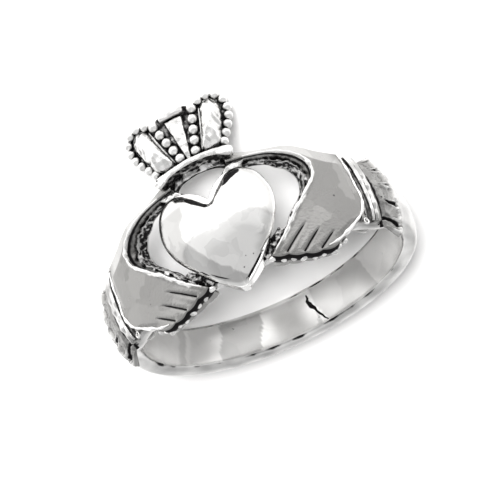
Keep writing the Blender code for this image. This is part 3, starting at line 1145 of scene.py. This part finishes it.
@dataclass
class Heart:
    """The puffed heart on its thin flange."""

    width: float = 7.3
    length: float = 7.0
    tip: float = -3.85
    flange: float = -0.03
    notch_flange: float = 0.40
    tip_flange: float = 0.22
    base: float = 1.45
    step: float = 0.10
    crisp: float = 0.02
    puff: float = 1.40
    puff_power: float = 2.3
    rings: int = 34
    black_height: float = 1.15
    centre: float = 0.54
    dome_foot: float = 0.5
    dome_roundness: float = 0.55
    half: Points = (
        (0.00, 0.835), (0.16, 0.925), (0.42, 0.992), (0.67, 0.982), (0.89, 0.895), (1.00, 0.740),
        (0.985, 0.60), (0.88, 0.46), (0.68, 0.31), (0.40, 0.14), (0.13, 0.025), (0.00, 0.000),
    )
    strokes: tuple[tuple[Points, float], ...] = (
        (((-1.20, 2.40), (-0.72, 1.84), (-0.14, 1.24)), 0.21),
        (((-1.10, 2.20), (-0.68, 1.70), (-0.20, 1.22), (-0.04, 1.06)), 0.13),
        (((1.30, 2.26), (1.78, 2.56), (2.34, 2.80)), 0.20),
        (((1.10, 1.96), (1.62, 2.34), (2.10, 2.62)), 0.13),
        (((0.12, -3.66), (0.55, -3.36), (1.10, -2.93), (1.80, -2.32)), 0.055),
        (((-0.35, -3.52), (-1.20, -2.83), (-2.20, -1.90), (-2.70, -1.35)), 0.048),
    )
    # Where the painted shade on the heart's left ends: each point a place along, then a place across.
    painted_shade_line: Points = ((-3.54, 0.36), (-2.16, -0.89), (-1.33, -1.49), (0.25, -2.07), (1.99, -1.36))

    def outline(self) -> Path:
        """The heart's outline."""
        points = [(a * self.width / 2, self.tip + b * self.length) for a, b in self.half]
        return both_halves(smooth_path(points, 7))

    def to_edge(self, x: Array, y: Array) -> Array:
        """How far places lie from the heart's outline."""
        around = self.outline()
        return away_from(around + around[:1], x, y)

    def foot(self) -> Path:
        """Sets the dome's outline back from the heart's, most of all beside the notch and the tip.

        Returns:
            The dome's outline.
        """
        around = self.outline()
        found = []
        for i, p in enumerate(around):
            along = (around[(i + 1) % len(around)] - around[i - 1]).normalized()
            near_notch = math.exp(-(p.x / 1.7) ** 2) * float(ease(0.8, 2.0, np.array(p.y)))
            near_tip = float(ease(0.0, 0.5, np.array(p.x))) * float(1 - ease(-2.4, -1.5, np.array(p.y)))
            back = self.flange + self.notch_flange * near_notch + self.tip_flange * near_tip
            found.append(p + Vector((along.y, -along.x)) * back)
        return found

    def black(self, x: Array, y: Array) -> Array:
        """Blackens the strokes beside the notch and along the two lower edges.

        Args:
            x: Places across.
            y: Places along.

        Returns:
            How black they are.
        """
        amount = np.zeros(x.shape)
        for stroke, width in self.strokes:
            away, share = distance_to([Vector(p) for p in stroke], x, y)
            ends = ease(-0.3, 0.3, share) * (1 - ease(0.8, 1.2, share))
            amount = np.maximum(amount, 2.1 * hill(away, width) * ends)
        return amount

    def dull(self, x: Array, y: Array) -> Array:
        """Paints shade on the heart left of a ragged line and along its right edge, for its darker
        reflections.

        Args:
            x: Places across.
            y: Places along.

        Returns:
            How strong the painted shade is.
        """
        line = np.interp(y, [a for a, _ in self.painted_shade_line], [b for _, b in self.painted_shade_line])
        left = 0.60 * ease(-0.06, 0.06, line - x + rough(0.20, 3.3)(x, y)) * (1 - ease(1.9, 2.3, y))
        to_edge = self.to_edge(x, y)
        right = 0.44 * (1 - ease(0.30, 0.72, to_edge + rough(0.14, 5.5)(x, y))) * ease(0.9, 1.8, x)
        return np.maximum(left, right) * ease(0.06, 0.16, to_edge)

    def flange_plate(self) -> Mesh:
        """Makes the flange, whose edge shows round the dome."""
        plate = Plate(self.outline(), 0.0, self.base, rim=0.07, cell=0.09)
        # The film mask here carries painted shade.
        return plate.cast(None, HOLE.lift, (HOLLOW, self.black), (FILM_AND_PAINTED_SHADE, self.dull))

    def dome(self) -> Mesh:
        """Makes the puffed dome.

        Returns:
            Its mesh.
        """
        wall = self.base + self.step
        profile = [(1.0, wall)]
        for size in [0.995] + [1 - k / self.rings for k in range(1, self.rings)]:
            profile.append((size, wall + (self.puff - self.step) * (1 - size ** self.puff_power)))
        centre = Vector((0.0, self.tip + self.length * self.centre))
        dome = Pillow(self.foot(), centre, self.dome_foot, wall - self.crisp, profile, self.dome_roundness)
        bm = dome.build()
        x, y, z = places(bm).T
        stain(bm, HOLLOW, self.black(x, y) * (z < self.base + self.black_height))
        # Painted highlight along the dome's right edge.
        stain(bm, WEAR_AND_HIGHLIGHT, 0.9 * (1 - ease(0.10, 0.18, self.to_edge(x, y))) * ease(0.9, 1.8, x))
        # Painted shade, from self.dull.
        stain(bm, FILM_AND_PAINTED_SHADE, self.dull(x, y))
        return bm


@dataclass
class Cuff:
    """The right wrist's cuff: a dark groove and a double roll between the hand and the frill."""

    half: float = 2.30
    thickness: float = 1.55
    dome: float = 0.28
    rubbed: float = 0.80
    line: float = 9.16
    groove: float = 9.28
    groove_depth: float = 0.24
    rolls: Points = ((9.66, 0.15), (9.96, 0.20))
    end: float = 10.40
    end_drop: float = 0.12
    scroll_steps: int = 40
    scroll_place: tuple[float, float] = (8.97, -2.22)
    scroll_radius: float = 0.24
    scroll_wire: float = 0.07
    outline: Points = (
        (8.6, -1.70), (8.95, -2.08), (9.6, -2.26), (10.3, -2.16), (10.65, -1.50), (10.65, 1.60), (10.3, 2.22),
        (9.5, 2.32), (8.9, 2.26), (8.6, 1.90),
    )

    @staticmethod
    def bow(y: Array) -> Array:
        """How far the roll bends back to the hand at its two ends."""
        return 0.09 * np.clip(np.abs(y) - 1.0, 0, None) ** 2

    def relief(self, x: Array, y: Array) -> Array:
        """Shapes the cuff: its dome, its groove and its fall behind the rolls.

        Args:
            x: Places across.
            y: Places along.

        Returns:
            The heights to add.
        """
        rise = -self.dome * (y / self.half) ** 2
        rise -= self.groove_depth * hill(x - self.groove, 0.20)
        rise -= self.end_drop * ease(0.0, 0.12, x - self.end + self.bow(y))
        return rise + rough(0.06, 8.8)(x, y) * hill(x - self.groove, 0.25)

    def black(self, x: Array, y: Array) -> Array:
        """Blackens the cuff below the hand's rim, in its groove, beside the rolls and behind them.

        Args:
            x: Places across.
            y: Places along.

        Returns:
            How black it is.
        """
        amount = np.maximum(0.80 * hill(x - self.groove, 0.30), hill(x - self.line, 0.08))
        amount = np.maximum(amount, 0.70 * hill(x - self.rolls[0][0] + self.bow(y), 0.30))
        return np.maximum(amount, 1.1 * ease(0.0, 0.06, x - self.end + self.bow(y)))

    def build(self) -> Mesh:
        """Makes the right cuff."""
        plate = Plate(closed_path(self.outline, 5), 0.0, self.thickness, rim=0.06, cell=0.06)
        return plate.cast(self.relief, HOLE.lift, (HOLLOW, self.black), (WEAR_AND_HIGHLIGHT, None, None, even(self.rubbed)))

    def roll_piece(self) -> Mesh:
        """Makes the double roll across the cuff.

        Returns:
            Its mesh.
        """
        y = np.linspace(-2.2, 2.3, 49)
        z = self.thickness - self.dome * (y / self.half) ** 2 + 0.03
        rods = []
        for place, radius in self.rolls:
            path = [Vector(p) for p in zip(place - self.bow(y), y, z)]
            rods.append(Tube(path, radius, sides=16, taper=0.4, uneven=0.4).build())
        bm = joined(rods)
        film = [0.50 + 0.9 * noise.noise((v.co.x * 3.0, v.co.y * 1.3, 2.2)) for v in bm.verts]
        stain(bm, FILM_AND_PAINTED_SHADE, np.array(film))
        return bm

    def scroll(self) -> Mesh:
        """Makes the small curl at the lower end of the cuff.

        Returns:
            Its mesh.
        """
        path = []
        across, along = self.scroll_place
        for k in range(self.scroll_steps):
            share = k / self.scroll_steps
            turn = 0.6 + 2.6 * math.pi * share
            radius = self.scroll_radius * (1 - 0.80 * share)
            height = self.thickness - 0.30 + 0.10 * share
            path.append(Vector((across + radius * math.cos(turn), along + radius * math.sin(turn), height)))
        return Tube(path, self.scroll_wire, taper=0.3).build()


@dataclass
class Frill:
    """The right sleeve's frill: a thin sheet of hollow lobes with raised rims, fanned out."""

    root: float = 10.46
    length: float = 2.07
    width: float = 5.5
    root_width: float = 4.3
    shift: float = -0.25
    height: float = 1.72
    shell: float = 0.55
    edge_drop: float = 0.55
    rim: float = 0.16
    dish: float = 0.10
    slot: float = 0.40
    tip_drop: float = 0.22
    root_drop: float = 0.24
    scallop: float = 0.16
    turn_down: float = 0.10
    cells_along: int = 44
    cells_across: int = 150
    edges: tuple[float, ...] = (-1.0, -0.80, -0.33, 0.14, 0.62, 1.0)
    slot_starts: tuple[float, ...] = (-0.10, 0.28, 0.62, 0.42)
    slot_widths: tuple[float, ...] = (0.070, 0.095, 0.050, 0.070)

    def along_lobe(self, v: Array) -> Array:
        """Finds where in its lobe a place is.

        Args:
            v: Place across, from -1 to 1.

        Returns:
            From -1 on one side of the lobe to 1 on the other.
        """
        number = np.clip(np.searchsorted(self.edges, v, side="right") - 1, 0, len(self.edges) - 2)
        low, high = np.array(self.edges)[number], np.array(self.edges)[number + 1]
        return np.clip((v - low) / (high - low) * 2 - 1, -0.98, 0.98)

    def slots(self, u: Array, v: Array) -> Array:
        """Cuts the slots between the lobes.

        Args:
            u: Share of the way from the cuff to the tips.
            v: Place across, from -1 to 1.

        Returns:
            How deep they are.
        """
        found = np.zeros(u.shape)
        for edge, start, width in zip(self.edges[1:-1], self.slot_starts, self.slot_widths):
            ends = ease(start, start + 0.14, u) * (1 - ease(0.86, 0.97, u))
            found = np.maximum(found, hill(v - edge + 0.05 * (u - 0.7), width) ** 2 * ends)
        return found

    def near_edge(self, u: Array, v: Array) -> Array:
        """How close a place is to its lobe's side or tip."""
        return np.maximum(np.abs(self.along_lobe(v)), ease(0.45, 1.02, u))

    def top(self, u: Array, v: Array) -> Array:
        """Shapes the sheet's upper side.

        Args:
            u: Share of the way from the cuff to the tips.
            v: Place across, from -1 to 1.

        Returns:
            The heights.
        """
        near_edge = self.near_edge(u, v)
        rise = self.height - self.edge_drop * v ** 2
        rise += self.rim * hill(near_edge - 0.76, 0.16) * ease(0.10, 0.50, u)
        rise -= self.dish * (1 - near_edge ** 2) * ease(0.15, 0.5, u)
        rise -= self.slot * self.slots(u, v)
        rise -= self.tip_drop * ease(0.93, 1.0, u) ** 2 + self.root_drop * (1 - ease(0.0, 0.16, u))
        return rise - self.turn_down * ease(0.78, 1.0, -v)

    def build(self) -> Mesh:
        """Makes the whole right frill.

        Returns:
            Its mesh.
        """
        bm = bmesh.new()
        bmesh.ops.create_grid(bm, x_segments=self.cells_along, y_segments=self.cells_across, size=1.0)
        u, v, _ = places(bm).T
        u = (u + 1) / 2
        lobe = self.along_lobe(v)
        reach = self.length * (1 - 0.10 * v ** 2) * (1 - self.scallop * (1 - np.sqrt(1 - lobe ** 2)))
        across = self.shift + v * (self.root_width + (self.width - self.root_width) * u) / 2
        stain(bm, HOLLOW, np.maximum(1.5 * self.slots(u, v), 0.95 - ease(0.02, 0.16, u)))
        stain(bm, WEAR_AND_HIGHLIGHT, 0.9 * hill(self.near_edge(u, v) - 0.78, 0.18) * ease(0.3, 0.6, u))
        for vertex, du, dr, y, z in zip(bm.verts, u, reach, across, self.top(u, v)):
            vertex.co = (self.root + du * dr, y, z)
        made = bmesh.ops.extrude_face_region(bm, geom=bm.faces[:])
        lower = [g for g in made["geom"] if isinstance(g, bmesh.types.BMVert)]
        for vertex in lower:
            row = (vertex.co.y - self.shift) / (self.width / 2)
            thin = self.shell * (1 - 0.55 * min(row * row, 1.0))
            turned = self.turn_down * float(ease(0.78, 1.0, -row))
            vertex.co.z = self.height - self.edge_drop * row ** 2 - thin - turned
        bmesh.ops.recalc_face_normals(bm, faces=bm.faces)
        return bm


@dataclass
class Crown:
    """The crown: arched bar, thin plate, two petals, middle blade with its cap, and beads."""

    half: float = 3.3
    base: float = 3.55
    height: float = 4.6
    gap: float = 0.6
    plate: float = 0.9
    bar: float = 2.0
    bar_black: float = 0.72
    bar_black_half: float = 2.25
    step_height: float = 1.15
    sunk: float = 0.3
    dents: float = 0.16
    block_rim: float = 0.13
    petal_wall: float = 0.14
    petal_puff: float = 0.62
    petal_rings: int = 22
    bead_row: tuple[int, float] = (5, 0.64)
    bead_border: tuple[int, float] = (9, 0.56)

    def at(self, table: Points) -> Points:
        """Places a table of shares on the crown."""
        return tuple((a * self.half, self.base + b * self.height) for a, b in table)

    @property
    def top(self) -> float:
        """Height of the crown plate's face."""
        return self.gap + self.plate

    def backing(self) -> Mesh:
        """Makes the thin plate that everything else stands on.

        Returns:
            Its mesh.
        """
        right = smooth_path(self.at((
            (0.68, 0.15), (0.80, 0.40), (0.92, 0.57), (0.99, 0.72), (0.97, 0.85), (0.86, 0.945),
            (0.70, 0.985), (0.50, 0.965), (0.36, 0.93), (0.285, 0.985), (0.00, 1.000),
        )), 6)
        foot = Vector((0.0, right[0].y))
        plate = Plate(both_halves([foot] + right), self.gap, self.top, rim=0.05, cell=0.14)
        return plate.cast(rough(0.03, 7.7), None, (HOLLOW, even(0.70)))

    def bar_piece(self) -> Mesh:
        """Makes the arched bar at the crown's foot.

        Returns:
            Its mesh.
        """
        half = smooth_path(self.at((
            (0.00, 0.165), (0.38, 0.14), (0.62, 0.065), (0.69, 0.055), (0.76, 0.11), (0.75, 0.165),
            (0.60, 0.205), (0.00, 0.24),
        )), 8)
        plate = Plate(both_halves(half), 0.0, self.bar, rim=0.15, cell=0.07, wall_cell=0.12)
        coat = (HOLLOW, None, lambda x, y: self.bar_black * (np.abs(x) < self.bar_black_half))
        return plate.cast(rough(0.035, 2.4), HOLE.lift, coat)

    def step(self) -> Mesh:
        """Makes the rough step in the wall under the bar.

        Returns:
            Its mesh.
        """
        lower = smooth_path(self.at(((0.00, 0.075), (0.38, 0.05), (0.64, -0.03))), 8)
        upper = smooth_path(self.at(((0.66, 0.12), (0.40, 0.16), (0.00, 0.20))), 8)
        plate = Plate(both_halves(lower + upper), 0.0, self.step_height, rim=0.06, cell=0.09, wall_cell=0.10)
        return plate.cast(rough(0.12, 5.2), HOLE.lift, (HOLLOW, None, even(0.66)))

    def petal(self) -> Mesh:
        """Makes the right petal.

        Returns:
            Its mesh.
        """
        outline = closed_path(self.at((
            (0.30, 0.27), (0.61, 0.27), (0.75, 0.46), (0.86, 0.66), (0.88, 0.80), (0.79, 0.91),
            (0.66, 0.935), (0.53, 0.85), (0.42, 0.60),
        )), 10)
        wall = self.top + self.petal_wall
        profile = []
        for k in range(1, self.petal_rings):
            size = 1 - k / self.petal_rings
            profile.append((size, wall + self.petal_puff * (1 - size ** 2.4) ** 0.75))
        centre = Vector(self.at(((0.60, 0.62),))[0])
        bm = Pillow(outline, centre, self.top - self.sunk, wall, profile).build()
        x, y, _ = places(bm).T
        for vertex, dz in zip(bm.verts, rough(self.dents, 4.4)(x * 0.8, y * 0.4)):
            vertex.co.z += dz * (vertex.co.z > wall + 0.1)
        return bm

    def blade(self, low: tuple[float, float], high: tuple[float, float], rise: float) -> Mesh:
        """Makes a raised block on the middle line.

        Args:
            low: Half width and place of its lower end, as shares.
            high: Half width and place of its upper end, as shares.
            rise: Its height over the crown plate.

        Returns:
            Its mesh.
        """
        a, b = (Vector(p) for p in self.at((low, high)))
        outline = [Vector((-a.x, a.y)), a, b, Vector((-b.x, b.y))]
        plate = Plate(outline, self.top - self.sunk, self.top + rise, rim=self.block_rim, cell=0.08)
        return plate.cast(rough(0.07, 6.1), None)

    def channel(self) -> Mesh:
        """Makes the thin ridge between the right bead row and its petal."""
        flat = smooth_path(self.at(((0.272, 0.29), (0.395, 0.57), (0.515, 0.87))), 8)
        return Tube([Vector((p.x, p.y, self.top + 0.05)) for p in flat], 0.06).build()

    def beads(self) -> Mesh:
        """Makes the bead row and the beaded border of the right side.

        Returns:
            Their mesh.
        """
        row = smooth_path(self.at(((0.155, 0.315), (0.385, 0.885))), 40)
        border = smooth_path(self.at((
            (0.69, 0.285), (0.82, 0.43), (0.94, 0.58), (1.00, 0.73), (0.97, 0.87), (0.84, 0.965),
            (0.68, 0.985), (0.54, 0.955),
        )), 16)
        bm = bmesh.new()
        for path, (count, size) in ((row, self.bead_row), (border, self.bead_border)):
            for place in spread(path, count):
                spot = Matrix.Translation((place.x, place.y, self.top + 0.17 * size))
                add_ball(bm, size / 2, spot)
        return bm


@dataclass
class Joints:
    """Low metal that joins the heart to the hands and to the crown."""

    web_height: float = 0.85
    web_outline: Points = ((1.30, -2.80), (2.20, -2.72), (3.95, -1.25), (3.25, -1.15), (2.35, -1.75))
    bridge_height: float = 1.3
    bridge_outline: Points = (
        (1.02, 2.62), (1.30, 2.55), (2.00, 2.92), (2.62, 3.25), (3.05, 3.55), (2.75, 3.92), (2.15, 3.80),
        (1.60, 3.36), (1.15, 2.98),
    )

    def web(self) -> Mesh:
        """Makes the rough web between the heart and the right fingers.

        Returns:
            Its mesh.
        """
        outline = [Vector(p) for p in self.web_outline]
        plate = Plate(outline, 0.0, self.web_height, rim=0.04, cell=0.08)
        black = rough(0.3, 6.6)
        coat = (HOLLOW, lambda x, y: 0.42 + 0.8 * black(x * 1.6, y * 1.6))
        return plate.cast(rough(0.16, 1.3), HOLE.lift, coat)

    def bridge(self) -> Mesh:
        """Makes the bridge between the heart's right lobe and the crown's bar."""
        outline = [Vector(p) for p in self.bridge_outline]
        return Plate(outline, 0.0, self.bridge_height, rim=0.12, cell=0.12).cast(rough(0.08, 9.1), HOLE.lift)


@dataclass
class Band:
    """The band round the back of the finger, which widens into the wrists."""

    width: float = 3.2
    wrist: float = 4.6
    thickness: float = 1.24
    flat: float = 0.77
    belly: float = 0.03
    proud: float = 0.03
    edge: float = 0.58
    waves: float = 0.030
    steps: int = 300
    flat_cells: int = 16
    corner_cells: int = 5
    dome_cells: int = 24
    spin_radius: float = 10.0
    line_at: float = 0.86
    line_width: float = 0.065
    line_height: float = 0.35
    outer_film: float = 0.52
    wrist_film: float = 0.14
    wrist_reach: float = 78.0
    seam_at: float = 171.5
    seam_radius: float = 0.09
    # Painted reflections inside the band: from each angle round it on, how strong the painted shade is.
    patches: Points = (
        (46.0, 0.20), (76.0, 0.40), (98.0, 0.02), (112.0, 0.08), (141.0, 0.42), (171.5, 0.00),
        (197.5, 0.72), (217.0, 0.22), (233.5, 0.00), (236.0, 0.40), (240.0, 0.10), (254.0, 0.00),
        (282.0, 0.40), (300.0, 0.20),
    )
    table: tuple[tuple[float, float, float], ...] = (
        (46.0, 1.00, 1.16), (60.0, 0.95, 1.14), (68.0, 0.50, 1.10), (78.0, 0.12, 1.06),
        (92.0, 0.00, 1.03), (120.0, 0.00, 1.00), (180.0, 0.00, 1.00),
    )
    seam_path: Points = (
        (173.6, 0.98), (173.5, 0.74), (174.4, 0.56), (173.6, 0.32), (173.3, 0.12), (172.1, -0.10),
        (171.9, -0.34), (171.2, -0.56), (170.2, -0.78), (169.8, -0.98), (168.5, -1.22),
    )

    def section(self) -> Path:
        """Draws the band's section as shares: across, and up from the finger.

        Returns:
            The section, closed.
        """
        points = []
        for k in range(self.flat_cells + 1):
            across = -1 + 2 * k / self.flat_cells
            points.append(Vector((self.flat * across, self.belly * across ** 2)))
        corner = []
        for k in range(1, self.corner_cells):
            turn = math.pi / 2 * k / self.corner_cells
            up = self.belly + (self.edge * 0.8 - self.belly) * (1 - math.cos(turn))
            corner.append(Vector((self.flat + (1 - self.flat) * math.sin(turn), up)))
        points += corner
        for k in range(self.dome_cells + 1):
            turn = math.pi * k / self.dome_cells
            points.append(Vector((math.cos(turn), self.edge + (1 - self.edge) * math.sin(turn) ** 0.9)))
        return points + [Vector((-p.x, p.y)) for p in reversed(corner)]

    def bare(self) -> Mesh:
        """Spins the section round the finger, of an even width.

        Returns:
            A closed mesh.
        """
        bm = bmesh.new()
        ring = [bm.verts.new((0, p.x, self.spin_radius + p.y)) for p in self.section()]
        edges = [bm.edges.new((a, b)) for a, b in zip(ring, ring[1:] + ring[:1])]
        first = math.radians(self.table[0][0])
        bmesh.ops.rotate(bm, verts=ring, cent=(0, 0, 0), matrix=Matrix.Rotation(first, 3, "Y"))
        bmesh.ops.spin(
            bm, geom=ring + edges, cent=(0, 0, 0), axis=(0, 1, 0), angle=2 * math.pi - 2 * first,
            steps=self.steps, use_merge=False, use_duplicate=False,
        )
        bmesh.ops.holes_fill(bm, edges=[e for e in bm.edges if e.is_boundary], sides=0)
        bmesh.ops.recalc_face_normals(bm, faces=bm.faces)
        return bm

    @staticmethod
    def uneven(turn: float, across: float, scale: float) -> float:
        """Unevenness that closes round the band."""
        return noise.noise((math.sin(turn) * scale, math.cos(turn) * scale, across))

    def build(self) -> Mesh:
        """Makes the band, bent already.

        Returns:
            Its mesh.
        """
        bm = self.bare()
        flares = smooth_path([(a, b) for a, b, _ in self.table], 12)
        swells = smooth_path([(a, c) for a, _, c in self.table], 12)
        black, film = [], []
        for vertex in bm.verts:
            across = vertex.co.y
            turn = math.atan2(vertex.co.x, vertex.co.z)
            from_head = abs(math.degrees(turn))
            height = math.hypot(vertex.co.x, vertex.co.z) - self.spin_radius
            on_edge = math.exp(-((abs(across) - self.line_at) / self.line_width) ** 2)
            on_edge *= height < self.line_height
            black.append(on_edge * (0.62 + 0.9 * self.uneven(turn, across, 7)))
            film.append(self.film(math.degrees(turn) % 360, across, height))
            share = np.interp(from_head, [p.x for p in flares], [p.y for p in flares])
            swell = np.interp(from_head, [p.x for p in swells], [p.y for p in swells])
            half = (self.width + (self.wrist - self.width) * share) / 2
            wave = self.waves * (1 - height) * self.uneven(turn, across, 5)
            radius = HOLE.radius - self.proud + height * self.thickness * swell + wave
            vertex.co = (radius * math.sin(turn), across * half, radius * math.cos(turn))
        stain(bm, HOLLOW, np.array(black))
        # Dull film outside, and painted reflections inside the band.
        stain(bm, FILM_AND_PAINTED_SHADE, np.array(film))
        return bm

    def film(self, from_head: float, across: float, height: float) -> float:
        """Spreads the dull film outside, cloudy, and painted reflections inside: patches of painted shade
        with ragged ends.

        Args:
            from_head: The angle round the band.
            across: The place across the band, from -1 to 1.
            height: The height over the inside, as a share.

        Returns:
            Its strength, from 0 to 1.
        """
        if height > self.belly + 0.02:
            near_wrist = min(from_head, 360 - from_head) < self.wrist_reach
            cloud = noise.noise((from_head * 0.12, across * 1.5, height * 2.0))
            return self.outer_film + self.wrist_film * near_wrist + 0.50 * cloud
        # Inside: patches of painted reflection, with ragged ends.
        ragged = 1.6 * noise.noise((across * 1.7, from_head * 0.02, 4.2))
        ragged -= 0.7 * noise.noise((across * 5, 0.3, 1.1))
        place = from_head + ragged + (3.5 * across if from_head > self.seam_at else -3.5 * across)
        starts = [start for start, _ in self.patches]
        number = max(int(np.searchsorted(starts, place, side="right")) - 1, 0)
        return self.patches[number][1]

    def seam(self) -> Mesh:
        """Makes the ragged seam across the inside of the band, bent already.

        Returns:
            Its mesh.
        """
        path = []
        for degrees, y in self.seam_path:
            turn = math.radians(degrees)
            share = 2 * y / (self.width * self.flat)
            radius = HOLE.radius - self.proud + self.belly * self.thickness * min(share ** 2, 1.2)
            path.append(Vector((radius * math.sin(turn), y, radius * math.cos(turn))))
        bm = Tube(path, self.seam_radius, sides=8, uneven=1.2).build()
        stain(bm, HOLLOW, np.full(len(bm.verts), 1.3))
        return bm


@dataclass
class Studio:
    """The pale table, the lamp, the white room and the camera."""

    lens: float = 151.095
    place: Triple = (-0.014054, -0.096308, 0.088984)
    turn: Triple = (-46.6994, -15.6638, 157.4004)
    room: Points = ((0, 1.00), (12, 0.96), (24, 0.74), (58, 0.70), (78, 1.00), (90, 1.00))
    room_on_table: float = 0.45
    table_half: float = 1.5
    table_colour: Triple = (0.93, 0.925, 0.92)
    lamp_place: Triple = (-0.0165, -0.3440, 0.242)
    lamp_side: float = 0.10
    lamp_watts: float = 4.00

    def camera(self) -> None:
        """Sets up the camera at the photograph's angle."""
        data = bpy.data.cameras.new("camera")
        data.lens = self.lens
        data.clip_start = 0.001
        data.clip_end = 10.0
        view = bpy.data.objects.new("camera", data)
        view.location = self.place
        view.rotation_euler = [math.radians(a) for a in self.turn]
        bpy.context.scene.collection.objects.link(view)
        bpy.context.scene.camera = view

    def floor(self) -> None:
        """Lays the pale table."""
        bm = bmesh.new()
        bmesh.ops.create_grid(bm, x_segments=1, y_segments=1, size=self.table_half)
        mesh = bpy.data.meshes.new("table")
        bm.to_mesh(mesh)
        bm.free()
        material = bpy.data.materials.new("table")
        material.use_nodes = True
        shader = material.node_tree.nodes["Principled BSDF"]
        shader.inputs["Base Color"].default_value = (*self.table_colour, 1.0)
        shader.inputs["Roughness"].default_value = 0.8
        mesh.materials.append(material)
        table = bpy.data.objects.new("table", mesh)
        bpy.context.scene.collection.objects.link(table)

    def lamp(self) -> None:
        """Hangs one soft lamp, which the silver doesn't mirror, so that it points at the ring."""
        data = bpy.data.lights.new("key", "AREA")
        data.shape = "RECTANGLE"
        data.size = data.size_y = self.lamp_side
        data.energy = self.lamp_watts
        light = bpy.data.objects.new("key", data)
        light.location = self.lamp_place
        light.rotation_euler = (-Vector(self.lamp_place)).to_track_quat("-Z", "Y").to_euler()
        light.visible_glossy = False
        bpy.context.scene.collection.objects.link(light)

    def surroundings(self) -> None:
        """Makes the white room: a bright wall low down, greyer above it, and a bright ceiling."""
        world = bpy.data.worlds.new("studio")
        world.use_nodes = True
        tree = world.node_tree
        background = tree.nodes["Background"]
        place = add_node(tree, "TexCoord", {}).outputs["Generated"]
        height = add_node(tree, "SeparateXYZ", {0: place}).outputs["Z"]
        ramp = add_node(tree, "ValToRGB", {0: height})
        strongest = max(strength for _, strength in self.room)
        for number, (degrees, strength) in enumerate(self.room):
            stops = ramp.color_ramp.elements
            stop = stops[number] if number < 2 else stops.new(1.0)
            stop.position = math.sin(math.radians(degrees))
            stop.color = (*[strength / strongest] * 3, 1.0)
        tree.links.new(ramp.outputs["Color"], background.inputs["Color"])
        on_table = add_node(tree, "LightPath", {}).outputs["Is Diffuse Ray"]
        strength = add_node(tree, "MapRange", {
            "Value": on_table, "To Min": strongest, "To Max": strongest * self.room_on_table,
        })
        tree.links.new(strength.outputs["Result"], background.inputs["Strength"])
        bpy.context.scene.world = world

    def build(self) -> None:
        """Sets the whole stage."""
        self.camera()
        self.floor()
        self.lamp()
        self.surroundings()
        bpy.context.scene.view_settings.view_transform = "Standard"


def build_ring() -> Casting:
    """Builds every form of the ring.

    Returns:
        The casting with its pieces.
    """
    casting = Casting(silver_materials())
    band, hand, heart, joints, cuff, crown = Band(), Hand(), Heart(), Joints(), Cuff(), Crown()
    casting.add("band", band.build(), Finish.WORN_INSIDE, bent=False)
    casting.add("seam", band.seam(), Finish.SHADED_SATIN, bent=False)
    casting.add_pair("hand", hand.build(), Finish.SHADED_SATIN)
    casting.add_pair("hand_rims", hand.rims(), Finish.POLISHED)
    casting.add_pair("ledge", hand.ledge(), Finish.AS_CAST)
    casting.add_pair("knobs", hand.knobs(), Finish.CAST_BRIGHT)
    casting.add("heart_flange", heart.flange_plate(), Finish.PUFFED)
    casting.add("heart_dome", heart.dome(), Finish.PUFFED)
    casting.add_pair("web", joints.web(), Finish.AS_CAST)
    casting.add_pair("bridge", joints.bridge(), Finish.CAST_BRIGHT)
    casting.add_pair("cuff", cuff.build(), Finish.SHADED_SATIN)
    casting.add_pair("cuff_roll", cuff.roll_piece(), Finish.POLISHED)
    casting.add_pair("scroll", cuff.scroll(), Finish.POLISHED)
    casting.add_pair("frill", Frill().build(), Finish.GREY_CAST)
    casting.add("crown_plate", crown.backing(), Finish.CAST_BRIGHT)
    casting.add("crown_bar", crown.bar_piece(), Finish.CAST_BRIGHT)
    casting.add("crown_step", crown.step(), Finish.AS_CAST)
    casting.add_pair("petal", crown.petal(), Finish.CAST_BRIGHT)
    casting.add("crown_blade", crown.blade((0.03, 0.23), (0.172, 0.855), 0.32), Finish.CAST_BRIGHT)
    casting.add("crown_cap", crown.blade((0.225, 0.875), (0.245, 0.99), 0.50), Finish.BEADED)
    casting.add_pair("crown_channel", crown.channel(), Finish.POLISHED)
    casting.add_pair("beads", crown.beads(), Finish.BEADED)
    return casting


def main() -> None:
    """Builds the ring, sets the stage and notes the sizes."""
    logging.basicConfig(level=logging.INFO, format="%(name)s: %(message)s")
    casting = build_ring()
    casting.mark_hollows()
    Studio().build()
    log.info("%d pieces", len(casting.pieces))


if __name__ == "__main__":
    main()
